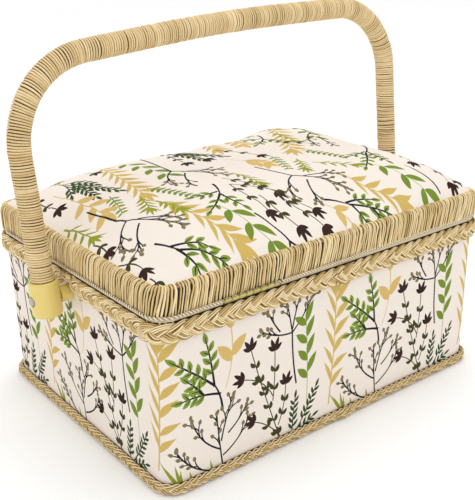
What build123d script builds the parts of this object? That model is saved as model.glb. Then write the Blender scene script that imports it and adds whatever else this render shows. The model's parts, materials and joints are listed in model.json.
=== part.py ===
"""A fabric-covered sewing box with a padded, hinged lid, a swinging handle and two lift-out trays.

Millimetres. The origin is the centre of the underside, on the surface the box stands on.
+Z is up, X runs along the length and -Y is the front. The hinges are at the back.
"""

import os
from math import cos, radians, sin

from build123d import *

# case
BODY_LENGTH = 308.0
BODY_DEPTH = 230.0
BODY_CORNER = 13.0
CLOTH = 0.5
BOARD = 5.0
BOARD_TOP = 129.4
BASE_CLOTH = 0.6
BASE_BOARD = 6.0
COVER_TOP = 128.8

# braids round the case
RIM_BRAID = 4.0
RIM_BRAID_LOW = 112.0
RIM_BRAID_HIGH = 128.6
BASE_BRAID = 5.0
BASE_BRAID_LOW = 0.3
BASE_BRAID_HIGH = 9.0

# trays
LEDGE_LOW = 58.0
LEDGE_HIGH = 70.0
LEDGE_DEPTH = 190.0
LEDGE_INNER_X = 137.0
TRAY_WALL = 2.0
TRAY_CORNER = 9.0
TRAY_LIP = 1.5
TRAY_LIP_HEIGHT = 3.0
UPPER_TRAY_LENGTH = 285.0
UPPER_TRAY_DEPTH = 210.0
UPPER_TRAY_LOW = 70.2
UPPER_TRAY_HIGH = 116.0
LOWER_TRAY_LENGTH = 268.0
LOWER_TRAY_DEPTH = 210.0
LOWER_TRAY_LOW = 7.4
LOWER_TRAY_HIGH = 55.0

# lid
LID_LOW = 130.0
LID_BOARD_LOW = 145.5
LID_HIGH = 149.5
STRAW = 2.0
PIPING = 2.3
DOME_LENGTH = 300.0
DOME_DEPTH = 222.0
DOME_HEIGHT = 26.5
DOME_CORNER = 15.0
DOME_FULLNESS = 1 / 0.6
PINCUSHION_LENGTH = 118.0
PINCUSHION_DEPTH = 78.0
PINCUSHION_LOW = 132.5
PINCUSHION_X = -72.0
POCKET_LENGTH = 128.0
POCKET_DEPTH = 170.0
POCKET_GAP = 2.1
POCKET_X = 68.0
ELASTIC_WIDTH = 6.0

# hinges
HINGE_X = 95.0
HINGE_Y = 115.0
HINGE_Z = 131.5
HINGE_WIDTH = 32.0
KNUCKLE_RADIUS = 2.0
KNUCKLE_CENTRE_WIDTH = 12.0
PIN_RADIUS = 1.0
LEAF = 0.8
BODY_LEAF_DROP = 20.0
SCREW_RADIUS = 1.2
SCREW_HEAD_RADIUS = 2.3
RUN = 0.07

# handle
PIVOT_Z = 112.2
LEG_X = 173.0
LEG_SPLAY = 1.5
LEAN = 6.5
BAR_HEIGHT = 164.0
BAR_TILT = 7.2
BAR_CROWN = 3.3
LEFT_SHOULDER = 62.0
RIGHT_SHOULDER = 53.0
CROWN_RADIUS = 1500.0
ROD_RADIUS = 4.5
WRAP_RADIUS = 8.2
FERRULE_RADIUS = 10.7
FERRULE_HALF = 12.8
PIVOT_RADIUS = 2.5
PIVOT_HEAD_RADIUS = 3.5
SPACER_RADIUS = 6.0

# layers of the case, from the cover inwards
BOARD_LENGTH = BODY_LENGTH - 2 * CLOTH
BOARD_DEPTH = BODY_DEPTH - 2 * CLOTH
BOARD_CORNER = BODY_CORNER - CLOTH
INNER_LENGTH = BOARD_LENGTH - 2 * BOARD
INNER_DEPTH = BOARD_DEPTH - 2 * BOARD
INNER_CORNER = BOARD_CORNER - BOARD
LINING_X = INNER_LENGTH / 2 - CLOTH
LINING_Y = INNER_DEPTH / 2 - CLOTH
LINING_CORNER = INNER_CORNER - CLOTH
FLOOR = BASE_CLOTH + BASE_BOARD
CORNER_X = BOARD_LENGTH / 2 - BOARD_CORNER
CORNER_Y = BOARD_DEPTH / 2 - BOARD_CORNER
SIDES = {"left": -1, "right": 1}

os.makedirs("parts", exist_ok=True)


def save(builder, name):
    """Label a finished piece and write it as its own STEP file."""
    builder.part.label = name
    export_step(builder.part, f"parts/{name}.step")


def slab(length, depth, corner, low, high, mode=Mode.ADD):
    """A rounded rectangle centred on Z, from low to high."""
    with BuildSketch(Plane.XY.offset(low)) as outline:
        RectangleRounded(length, depth, corner)
    extrude(outline.sketch, amount=high - low, mode=mode)


def block(low, high, mode=Mode.ADD):
    """A box between two corner points."""
    with BuildSketch(Plane.XY.offset(low[2])) as outline:
        with Locations(((low[0] + high[0]) / 2, (low[1] + high[1]) / 2)):
            Rectangle(high[0] - low[0], high[1] - low[1])
    extrude(outline.sketch, amount=high[2] - low[2], mode=mode)


def rod(start, direction, radius, length, mode=Mode.ADD):
    """A round rod from a point along a direction."""
    with BuildSketch(Plane(origin=start, z_dir=direction)) as section:
        Circle(radius)
    extrude(section.sketch, amount=length, mode=mode)


def pivot_hole(side, radius, inner_x, outer_x):
    """The handle screw's hole through a side of the box."""
    rod((side * inner_x, 0, PIVOT_Z), (side, 0, 0), radius, outer_x - inner_x, Mode.SUBTRACT)


# ---- case boards

with BuildPart() as base_cloth:
    slab(BODY_LENGTH, BODY_DEPTH, BODY_CORNER, 0, BASE_CLOTH)
save(base_cloth, "base_cloth")

with BuildPart() as base_panel:
    slab(INNER_LENGTH, INNER_DEPTH, INNER_CORNER, BASE_CLOTH, FLOOR)
save(base_panel, "base_panel")


def screw_places(height):
    """Where the hinge screws sit: two for each hinge, at one height."""
    for centre in (-HINGE_X, HINGE_X):
        for offset in (-HINGE_WIDTH / 4, HINGE_WIDTH / 4):
            yield (centre + offset, height)


BODY_SCREW_Z = BOARD_TOP - 12.0
LID_SCREW_Z = LID_LOW + 9.0
SCREW_REACH = 5.0
LEAF_FACE_Y = LINING_Y - LEAF


def screw_holes(height):
    for x, z in screw_places(height):
        rod((x, LEAF_FACE_Y, z), (0, 1, 0), SCREW_RADIUS + RUN, SCREW_REACH, Mode.SUBTRACT)


for name, front_or_back in {"front_panel": -1, "back_panel": 1}.items():
    with BuildPart() as wall:
        outer = front_or_back * BOARD_DEPTH / 2
        inner = front_or_back * INNER_DEPTH / 2
        block((-CORNER_X, min(inner, outer), BASE_CLOTH), (CORNER_X, max(inner, outer), BOARD_TOP))
        if front_or_back == 1:
            screw_holes(BODY_SCREW_Z)
    save(wall, name)

for name, side in SIDES.items():
    with BuildPart() as wall:
        outer = side * BOARD_LENGTH / 2
        inner = side * INNER_LENGTH / 2
        block((min(inner, outer), -CORNER_Y, BASE_CLOTH), (max(inner, outer), CORNER_Y, BOARD_TOP))
        pivot_hole(side, PIVOT_RADIUS, INNER_LENGTH / 2 - 1, BOARD_LENGTH / 2 + 1)
    save(wall, name + "_panel")

for end, along in {"front": -1, "back": 1}.items():
    for name, side in SIDES.items():
        with BuildPart() as corner_block:
            with BuildSketch(Plane.XY.offset(BASE_CLOTH)):
                with Locations((side * CORNER_X, along * CORNER_Y)):
                    Circle(BOARD_CORNER)
                    Circle(INNER_CORNER, mode=Mode.SUBTRACT)
                with Locations((side * (CORNER_X + BOARD_CORNER), along * (CORNER_Y + BOARD_CORNER))):
                    Rectangle(2 * BOARD_CORNER, 2 * BOARD_CORNER, mode=Mode.INTERSECT)
            extrude(amount=BOARD_TOP - BASE_CLOTH)
        save(corner_block, f"corner_block_{end}_{name}")

# ---- cloth on the case

with BuildPart() as body_cover:
    slab(BODY_LENGTH, BODY_DEPTH, BODY_CORNER, BASE_CLOTH, COVER_TOP)
    slab(BOARD_LENGTH, BOARD_DEPTH, BOARD_CORNER, BASE_CLOTH, COVER_TOP, Mode.SUBTRACT)
    for side in SIDES.values():
        pivot_hole(side, PIVOT_RADIUS, BOARD_LENGTH / 2 - 1, BODY_LENGTH / 2 + 1)
save(body_cover, "body_cover")

with BuildPart() as body_lining:
    slab(INNER_LENGTH, INNER_DEPTH, INNER_CORNER, FLOOR, COVER_TOP)
    slab(2 * LINING_X, 2 * LINING_Y, LINING_CORNER, FLOOR + CLOTH, COVER_TOP, Mode.SUBTRACT)
    for side in SIDES.values():
        pivot_hole(side, PIVOT_RADIUS, LINING_X - 1, INNER_LENGTH / 2 + 1)
    screw_holes(BODY_SCREW_Z)
save(body_lining, "body_lining")

# ---- braids


def braid_ring(thickness, low, high):
    """A flat braid lying against the cover all round."""
    grow = 2 * thickness
    slab(BODY_LENGTH + grow, BODY_DEPTH + grow, BODY_CORNER + thickness, low, high)
    slab(BODY_LENGTH, BODY_DEPTH, BODY_CORNER, low, high, Mode.SUBTRACT)


SPACER_ROOM = 1.0

with BuildPart() as rim_braid:
    braid_ring(RIM_BRAID, RIM_BRAID_LOW, RIM_BRAID_HIGH)
    fillet(rim_braid.edges().group_by(Axis.Z)[-1].group_by(Axis.X)[-1], radius=0.6)
    for side in SIDES.values():
        pivot_hole(side, SPACER_RADIUS + SPACER_ROOM, BODY_LENGTH / 2 - 1, BODY_LENGTH / 2 + RIM_BRAID + 1)
save(rim_braid, "rim_braid")

with BuildPart() as base_braid:
    braid_ring(BASE_BRAID, BASE_BRAID_LOW, BASE_BRAID_HIGH)
save(base_braid, "base_braid")

# ---- ledges and trays

for name, side in SIDES.items():
    with BuildPart() as ledge:
        low_x = min(side * LEDGE_INNER_X, side * LINING_X)
        high_x = max(side * LEDGE_INNER_X, side * LINING_X)
        block((low_x, -LEDGE_DEPTH / 2, LEDGE_LOW), (high_x, LEDGE_DEPTH / 2, LEDGE_HIGH))
        fillet(ledge.edges().filter_by(Axis.Y), radius=1.5)
    save(ledge, f"ledge_{name}")


def tray(length, depth, low, high, columns, corner):
    """An open tray with a thin lip. Each column is (width share, number of compartments)."""
    lip = 2 * TRAY_LIP
    slab(length - lip, depth - lip, corner - TRAY_LIP, low, high)
    slab(length, depth, corner, high - TRAY_LIP_HEIGHT, high)
    usable_length = length - lip - TRAY_WALL * (len(columns) + 1)
    usable_depth = depth - lip
    x = -length / 2 + TRAY_LIP + TRAY_WALL
    for share, count in columns:
        width = usable_length * share
        cell = (usable_depth - TRAY_WALL * (count + 1)) / count
        for number in range(count):
            y = -usable_depth / 2 + TRAY_WALL + number * (cell + TRAY_WALL)
            with BuildSketch(Plane.XY.offset(low + TRAY_WALL)) as compartment:
                with Locations((x + width / 2, y + cell / 2)):
                    RectangleRounded(width, cell, corner - TRAY_LIP - TRAY_WALL)
            extrude(compartment.sketch, amount=high - low, mode=Mode.SUBTRACT)
        x += width + TRAY_WALL


UPPER_COLUMNS = ((0.34, 2), (0.22, 4), (0.44, 1))
LOWER_COLUMNS = ((0.5, 1), (0.5, 2))

with BuildPart() as upper_tray:
    tray(UPPER_TRAY_LENGTH, UPPER_TRAY_DEPTH, UPPER_TRAY_LOW, UPPER_TRAY_HIGH, UPPER_COLUMNS, TRAY_CORNER)
save(upper_tray, "upper_tray")

with BuildPart() as lower_tray:
    tray(LOWER_TRAY_LENGTH, LOWER_TRAY_DEPTH, LOWER_TRAY_LOW, LOWER_TRAY_HIGH, LOWER_COLUMNS, TRAY_CORNER)
save(lower_tray, "lower_tray")

# ---- hinges

KNUCKLE_LOW_Y = HINGE_Y - KNUCKLE_RADIUS - 0.6
LID_LEAF_LOW = HINGE_Z - LEAF / 2
LID_LEAF_HIGH = LID_LEAF_LOW + LEAF
BODY_LEAF_HIGH = BOARD_TOP + LEAF
SIDE_KNUCKLE = (HINGE_WIDTH - KNUCKLE_CENTRE_WIDTH) / 2
KNUCKLE_GAP = 0.25


def knuckles(centre, outer_pair):
    """The rolled barrels on the hinge axis: the middle one, or the two outer ones."""
    if outer_pair:
        starts = (-HINGE_WIDTH / 2, KNUCKLE_CENTRE_WIDTH / 2 + KNUCKLE_GAP)
        width = SIDE_KNUCKLE - KNUCKLE_GAP
    else:
        starts = (-KNUCKLE_CENTRE_WIDTH / 2,)
        width = KNUCKLE_CENTRE_WIDTH
    return [(centre + start, width) for start in starts]


for name, side in SIDES.items():
    centre = side * HINGE_X
    with BuildPart() as body_leaf:
        block(
            (centre - HINGE_WIDTH / 2, LEAF_FACE_Y, BOARD_TOP),
            (centre + HINGE_WIDTH / 2, KNUCKLE_LOW_Y, BODY_LEAF_HIGH),
        )
        block(
            (centre - HINGE_WIDTH / 2, LEAF_FACE_Y, BOARD_TOP - BODY_LEAF_DROP),
            (centre + HINGE_WIDTH / 2, LINING_Y, BOARD_TOP),
        )
        for start, width in knuckles(centre, outer_pair=False):
            block((start, KNUCKLE_LOW_Y, BOARD_TOP), (start + width, HINGE_Y, BODY_LEAF_HIGH))
            rod((start, HINGE_Y, HINGE_Z), (1, 0, 0), KNUCKLE_RADIUS, width)
        rod(
            (centre - HINGE_WIDTH, HINGE_Y, HINGE_Z),
            (1, 0, 0),
            PIN_RADIUS + RUN,
            2 * HINGE_WIDTH,
            Mode.SUBTRACT,
        )
        screw_holes(BODY_SCREW_Z)
    save(body_leaf, f"hinge_body_leaf_{name}")

    with BuildPart() as lid_leaf:
        block(
            (centre - HINGE_WIDTH / 2, LEAF_FACE_Y, LID_LEAF_LOW),
            (centre + HINGE_WIDTH / 2, KNUCKLE_LOW_Y, LID_LEAF_HIGH),
        )
        block(
            (centre - HINGE_WIDTH / 2, LEAF_FACE_Y, LID_LEAF_LOW),
            (centre + HINGE_WIDTH / 2, LINING_Y, LID_BOARD_LOW - 2),
        )
        for start, width in knuckles(centre, outer_pair=True):
            block((start, KNUCKLE_LOW_Y, LID_LEAF_LOW), (start + width, HINGE_Y, LID_LEAF_HIGH))
            rod((start, HINGE_Y, HINGE_Z), (1, 0, 0), KNUCKLE_RADIUS, width)
        rod((centre - HINGE_WIDTH, HINGE_Y, HINGE_Z), (1, 0, 0), PIN_RADIUS, 2 * HINGE_WIDTH, Mode.SUBTRACT)
        screw_holes(LID_SCREW_Z)
    save(lid_leaf, f"hinge_lid_leaf_{name}")

    with BuildPart() as hinge_pin:
        rod((centre - HINGE_WIDTH / 2, HINGE_Y, HINGE_Z), (1, 0, 0), PIN_RADIUS, HINGE_WIDTH)
    save(hinge_pin, f"hinge_pin_{name}")


def hinge_screws(height):
    """Round-headed screws through the leaves into the boards."""
    for x, z in screw_places(height):
        rod((x, LEAF_FACE_Y, z), (0, 1, 0), SCREW_RADIUS, SCREW_REACH - 0.2)
        with BuildSketch(Plane(origin=(x, LEAF_FACE_Y, z), z_dir=(0, -1, 0))) as head:
            Circle(SCREW_HEAD_RADIUS)
        extrude(head.sketch, amount=1.0, taper=25)


with BuildPart() as hinge_body_screws:
    hinge_screws(BODY_SCREW_Z)
save(hinge_body_screws, "hinge_body_screws")

with BuildPart() as hinge_lid_screws:
    hinge_screws(LID_SCREW_Z)
save(hinge_lid_screws, "hinge_lid_screws")

# ---- lid

HINGE_ROOM = 0.3


def hinge_notches(depth_low):
    """Room for the hinge leaves and barrels in the lid's lower edge."""
    half = HINGE_WIDTH / 2 + HINGE_ROOM
    leaf_top = LID_LEAF_HIGH
    barrel_top = HINGE_Z + KNUCKLE_RADIUS + HINGE_ROOM
    for centre in (-HINGE_X, HINGE_X):
        block((centre - half, depth_low, LID_LOW - 1), (centre + half, BODY_DEPTH, leaf_top), Mode.SUBTRACT)
        block(
            (centre - half, KNUCKLE_LOW_Y, LID_LOW - 1),
            (centre + half, BODY_DEPTH, barrel_top),
            Mode.SUBTRACT,
        )


with BuildPart() as lid_frame:
    slab(BOARD_LENGTH, BOARD_DEPTH, BOARD_CORNER, LID_LOW, LID_BOARD_LOW)
    slab(INNER_LENGTH, INNER_DEPTH, INNER_CORNER, LID_LOW, LID_BOARD_LOW, Mode.SUBTRACT)
    hinge_notches(INNER_DEPTH / 2 - 1)
    screw_holes(LID_SCREW_Z)
save(lid_frame, "lid_frame")

with BuildPart() as lid_board:
    slab(BOARD_LENGTH, BOARD_DEPTH, BOARD_CORNER, LID_BOARD_LOW, LID_HIGH)
save(lid_board, "lid_board")

with BuildPart() as lid_wrap:
    slab(BOARD_LENGTH + 2 * STRAW, BOARD_DEPTH + 2 * STRAW, BOARD_CORNER + STRAW, LID_LOW, LID_HIGH)
    slab(BOARD_LENGTH, BOARD_DEPTH, BOARD_CORNER, LID_LOW, LID_HIGH, Mode.SUBTRACT)
    fillet(lid_wrap.edges().group_by(Axis.Z)[-1].group_by(Axis.X)[-1], radius=0.8)
    hinge_notches(BOARD_DEPTH / 2 - 1)
save(lid_wrap, "lid_wrap")

WRAP_LENGTH = BOARD_LENGTH + 2 * STRAW
WRAP_DEPTH = BOARD_DEPTH + 2 * STRAW
WRAP_CORNER = BOARD_CORNER + STRAW
PIPING_BACK_Y = 96.0

with BuildPart() as lid_piping:
    slab(WRAP_LENGTH + 2 * PIPING, WRAP_DEPTH + 2 * PIPING, WRAP_CORNER + PIPING, LID_LOW, LID_LOW + PIPING)
    slab(WRAP_LENGTH, WRAP_DEPTH, WRAP_CORNER, LID_LOW, LID_LOW + PIPING, Mode.SUBTRACT)
    block((-BODY_LENGTH, PIPING_BACK_Y, 0), (BODY_LENGTH, BODY_DEPTH, LID_HIGH), Mode.SUBTRACT)
save(lid_piping, "lid_piping")

DOME_LEVELS = (0.0, 0.3, 0.52, 0.71, 0.86, 0.95)


def dome(shrink):
    """The padded lid's crowned form, as a loft of rounded rectangles that close in towards the top."""
    sections = []
    for level in DOME_LEVELS:
        spread = (1 - level**DOME_FULLNESS) ** (1 / 3)
        length = (DOME_LENGTH - 2 * shrink) * spread
        depth = (DOME_DEPTH - 2 * shrink) * spread
        corner = min(DOME_CORNER - shrink + 58 * level, 0.4 * depth)
        with BuildSketch(Plane.XY.offset(LID_HIGH + (DOME_HEIGHT - shrink) * level)) as section:
            RectangleRounded(length, depth, corner)
        sections.append(section.sketch)
    return sections


with BuildPart() as lid_pad:
    loft(dome(CLOTH + 0.1))
save(lid_pad, "lid_pad")

with BuildPart() as lid_cover:
    loft(dome(0))
    loft(dome(CLOTH), mode=Mode.SUBTRACT)
save(lid_cover, "lid_cover")

LID_LINING_LOW = LID_BOARD_LOW - CLOTH

with BuildPart() as lid_lining:
    slab(INNER_LENGTH, INNER_DEPTH, INNER_CORNER, LID_LOW + 0.4, LID_BOARD_LOW)
    slab(2 * LINING_X, 2 * LINING_Y, LINING_CORNER, LID_LOW + 0.4, LID_LINING_LOW, Mode.SUBTRACT)
    hinge_notches(LINING_Y - 1)
    screw_holes(LID_SCREW_Z)
save(lid_lining, "lid_lining")

with BuildPart() as pincushion:
    with BuildSketch(Plane.XY.offset(PINCUSHION_LOW)):
        with Locations((PINCUSHION_X, 0)):
            RectangleRounded(PINCUSHION_LENGTH, PINCUSHION_DEPTH, 12)
    extrude(amount=LID_LINING_LOW - PINCUSHION_LOW)
    fillet(pincushion.edges().group_by(Axis.Z)[0], radius=4.5)
save(pincushion, "pincushion")

POCKET_TOP = LID_LINING_LOW - POCKET_GAP

with BuildPart() as lid_pocket:
    half_length = POCKET_LENGTH / 2
    half_depth = POCKET_DEPTH / 2
    block(
        (POCKET_X - half_length, -half_depth, POCKET_TOP - CLOTH),
        (POCKET_X + half_length, half_depth, LID_LINING_LOW),
    )
    block(
        (POCKET_X - half_length + CLOTH, -half_depth - 1, POCKET_TOP),
        (POCKET_X + half_length - CLOTH, half_depth - CLOTH, LID_LINING_LOW),
        Mode.SUBTRACT,
    )
save(lid_pocket, "lid_pocket")

with BuildPart() as pocket_elastic:
    block(
        (POCKET_X - half_length, -half_depth, POCKET_TOP - 3 * CLOTH),
        (POCKET_X + half_length, -half_depth + ELASTIC_WIDTH, POCKET_TOP - CLOTH),
    )
save(pocket_elastic, "pocket_elastic")

# ---- handle

HANDLE_UP = (0, sin(radians(LEAN)), cos(radians(LEAN)))
HANDLE_PLANE = Plane(
    origin=(0, 0, PIVOT_Z),
    x_dir=(1, 0, 0),
    z_dir=(0, -cos(radians(LEAN)), sin(radians(LEAN))),
)
ROD_START = 5.5
WRAP_START = 8.0
SOCKET_PLAY = 0.15


def handle_line(start):
    """The handle's centre line in its own plane: two legs, two unequal shoulders and a crowned bar."""
    top_x = LEG_X + LEG_SPLAY
    start_x = LEG_X + LEG_SPLAY * start / BAR_HEIGHT
    with BuildLine(HANDLE_PLANE) as line:
        Polyline(
            (-start_x, start),
            (-top_x, BAR_HEIGHT - BAR_TILT),
            (0, BAR_HEIGHT + 2 * BAR_CROWN),
            (top_x, BAR_HEIGHT + BAR_TILT),
            (start_x, start),
        )
        left_top = min(line.vertices(), key=lambda v: v.X - v.Z)
        fillet(left_top, radius=LEFT_SHOULDER)
        middle = min(line.vertices(), key=lambda v: abs(v.X))
        fillet(middle, radius=CROWN_RADIUS)
        right_top = max(line.vertices(), key=lambda v: v.X + v.Z)
        fillet(right_top, radius=RIGHT_SHOULDER)
    return line.line


def handle_sweep(start, outer, inner):
    path = handle_line(start)
    with BuildSketch(Plane(origin=path @ 0, z_dir=path % 0)) as section:
        Circle(outer)
        if inner:
            Circle(inner, mode=Mode.SUBTRACT)
    sweep(section.sketch, path=path)


with BuildPart() as handle_rod:
    handle_sweep(ROD_START, ROD_RADIUS, 0)
save(handle_rod, "handle_rod")

with BuildPart() as handle_wrap:
    handle_sweep(WRAP_START, WRAP_RADIUS, ROD_RADIUS + 0.05)
save(handle_wrap, "handle_wrap")

HEAD_SEAT_X = LEG_X + FERRULE_RADIUS - 1.2
SPACER_END_X = LEG_X - FERRULE_RADIUS + 1.0
SHANK_END_X = 143.9
NUT_X = 144.2
NUT = 3.5
NUT_RADIUS = 4.0

for name, side in SIDES.items():
    leg = Plane(origin=(side * LEG_X, 0, PIVOT_Z), x_dir=(1, 0, 0), z_dir=HANDLE_UP)
    outward = (side, 0, 0)

    with BuildPart() as ferrule:
        with BuildSketch(leg.offset(-FERRULE_HALF)):
            Circle(FERRULE_RADIUS)
        extrude(amount=2 * FERRULE_HALF)
        fillet(ferrule.edges().sort_by(Axis.Z)[0:1], radius=3.0)
        fillet(ferrule.edges().sort_by(Axis.Z)[-1:], radius=1.2)
        with BuildSketch(leg.offset(WRAP_START - 0.2)):
            Circle(WRAP_RADIUS + SOCKET_PLAY)
        extrude(amount=FERRULE_HALF, mode=Mode.SUBTRACT)
        with BuildSketch(leg.offset(ROD_START - 0.2)):
            Circle(ROD_RADIUS + SOCKET_PLAY)
        extrude(amount=FERRULE_HALF, mode=Mode.SUBTRACT)
        pivot_hole(side, PIVOT_RADIUS, LEG_X - FERRULE_RADIUS - 1, LEG_X + FERRULE_RADIUS + 1)
        pivot_hole(side, PIVOT_HEAD_RADIUS + 0.4, HEAD_SEAT_X, LEG_X + FERRULE_RADIUS + 1)
        pivot_hole(side, SPACER_RADIUS + 0.5, LEG_X - FERRULE_RADIUS - 1, SPACER_END_X)
    save(ferrule, f"ferrule_{name}")

    with BuildPart() as spacer:
        rod(
            (side * BODY_LENGTH / 2, 0, PIVOT_Z),
            outward,
            SPACER_RADIUS,
            SPACER_END_X - 0.2 - BODY_LENGTH / 2,
        )
        pivot_hole(side, PIVOT_RADIUS, BODY_LENGTH / 2 - 1, SPACER_END_X)
    save(spacer, f"spacer_{name}")

    with BuildPart() as pivot_screw:
        rod((side * SHANK_END_X, 0, PIVOT_Z), outward, PIVOT_RADIUS - RUN, HEAD_SEAT_X + 0.1 - SHANK_END_X)
        rod((side * (HEAD_SEAT_X + 0.1), 0, PIVOT_Z), outward, PIVOT_HEAD_RADIUS, 2.0)
        fillet(pivot_screw.edges().sort_by(Axis.X)[-1 if side > 0 else 0], radius=1.2)
    save(pivot_screw, f"pivot_screw_{name}")

with BuildPart() as pivot_nuts:
    for side in SIDES.values():
        with BuildSketch(Plane(origin=(side * NUT_X, 0, PIVOT_Z), z_dir=(side, 0, 0))) as nut:
            RegularPolygon(NUT_RADIUS, 6)
            Circle(PIVOT_RADIUS, mode=Mode.SUBTRACT)
        extrude(nut.sketch, amount=NUT)
save(pivot_nuts, "pivot_nuts")
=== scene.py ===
import json
import math

import bpy
import numpy as np
from mathutils import Matrix, Vector, noise
from mathutils.geometry import delaunay_2d_cdt


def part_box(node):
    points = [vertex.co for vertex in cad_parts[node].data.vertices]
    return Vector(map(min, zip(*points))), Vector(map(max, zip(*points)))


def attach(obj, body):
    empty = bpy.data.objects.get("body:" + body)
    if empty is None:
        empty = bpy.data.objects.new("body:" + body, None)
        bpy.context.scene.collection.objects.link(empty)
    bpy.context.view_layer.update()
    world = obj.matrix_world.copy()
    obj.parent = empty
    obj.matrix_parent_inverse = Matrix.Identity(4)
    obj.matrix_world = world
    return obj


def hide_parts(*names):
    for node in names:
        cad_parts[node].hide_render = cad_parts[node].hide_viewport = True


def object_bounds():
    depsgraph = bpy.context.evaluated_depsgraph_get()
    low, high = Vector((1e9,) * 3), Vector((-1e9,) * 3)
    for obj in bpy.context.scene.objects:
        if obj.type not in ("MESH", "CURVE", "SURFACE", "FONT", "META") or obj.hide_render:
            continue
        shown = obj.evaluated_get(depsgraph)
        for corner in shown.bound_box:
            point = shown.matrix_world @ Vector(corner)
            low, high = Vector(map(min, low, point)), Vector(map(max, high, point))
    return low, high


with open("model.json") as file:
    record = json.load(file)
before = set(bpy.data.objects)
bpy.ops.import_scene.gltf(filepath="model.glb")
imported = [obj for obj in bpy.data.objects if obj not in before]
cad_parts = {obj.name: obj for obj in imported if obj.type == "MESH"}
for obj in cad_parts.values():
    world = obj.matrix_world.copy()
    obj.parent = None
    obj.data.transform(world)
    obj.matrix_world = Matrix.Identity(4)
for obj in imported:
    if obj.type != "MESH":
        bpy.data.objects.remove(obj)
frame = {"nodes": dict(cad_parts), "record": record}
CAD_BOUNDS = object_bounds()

MM = 0.001


def box_mm(node):
    """Lowest and highest corner of a CAD node, in millimetres."""
    low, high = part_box(node)
    return np.array(low) / MM, np.array(high) / MM


# ---- the case's outline, which every band and sheet round it follows

HALF_X, HALF_Y = box_mm("body_cover")[1][:2]
CORNER = 13.0
RUN_X, RUN_Y = HALF_X - CORNER, HALF_Y - CORNER
ARC = math.pi * CORNER / 2
PERIMETER = 4 * (RUN_X + RUN_Y) + 4 * ARC


def around(s, offset):
    """Points and outward directions, s mm right of the front's middle and offset mm out from the case."""
    s, offset = np.broadcast_arrays(np.mod(np.asarray(s, float), PERIMETER), offset)
    x, y, turn = (np.zeros(s.shape) for _ in range(3))
    start, angle = 0.0, -90.0
    corners = ((RUN_X, -RUN_Y), (RUN_X, RUN_Y), (-RUN_X, RUN_Y), (-RUN_X, -RUN_Y))
    runs = (RUN_X, 2 * RUN_Y, 2 * RUN_X, 2 * RUN_Y, RUN_X)
    for k, run in enumerate(runs):
        cx, cy = corners[k] if k < 4 else (0.0, -RUN_Y)
        d = math.radians(angle)
        here = (s >= start - 1e-9) & (s <= start + run + 1e-9)
        back = start + run - s[here]
        x[here], y[here], turn[here] = cx + back * math.sin(d), cy - back * math.cos(d), d
        start += run
        if k < 4:
            here = (s > start) & (s < start + ARC)
            x[here], y[here] = cx, cy
            turn[here] = d + (s[here] - start) / CORNER
            start += ARC
            angle += 90.0
    out = np.stack((np.cos(turn), np.sin(turn)), -1)
    return np.stack((x, y), -1) + out * (CORNER + offset)[..., None], out


def ripple(points, size, seed=0.0):
    """Smooth noise from -1 to 1 at each point, with bumps about size mm wide."""
    shift = Vector((seed * 7.31, seed * 3.7, seed * 5.9))
    return np.array([noise.noise(Vector(p) / size + shift) for p in points])


def linked(name, data):
    """A new object holding data, put in the scene."""
    made = bpy.data.objects.new(name, data)
    bpy.context.collection.objects.link(made)
    return made


def ripple_along(s, size, seed=0.0, row=0.0):
    """The same noise down a line; another row gives another line."""
    return ripple(np.column_stack((s, s * 0 + row, s * 0)), size, seed)


def heading(angle):
    return np.array((math.cos(angle), math.sin(angle)))


def distances(path):
    """Length along path from its start to each of its points."""
    return np.concatenate(((0,), np.cumsum(np.linalg.norm(np.diff(path, axis=0), axis=1))))


def part_way(values, place):
    """Each column of values read at fractional row numbers."""
    return np.column_stack([np.interp(place, np.arange(len(values)), column) for column in values.T])


def slope_normals(surface, x, y, step):
    """Unit normals of surface(x, y), from points step mm to each side."""
    across = surface(x + step, y) - surface(x - step, y)
    upward = surface(x, y + step) - surface(x, y - step)
    normals = np.cross(across, upward)
    return normals / np.linalg.norm(normals, axis=1)[:, None]


# ---- materials

def srgb(r, g, b):
    return tuple(c / 12.92 if c <= 0.04045 else ((c + 0.055) / 1.055) ** 2.4 for c in (r, g, b))


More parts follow.
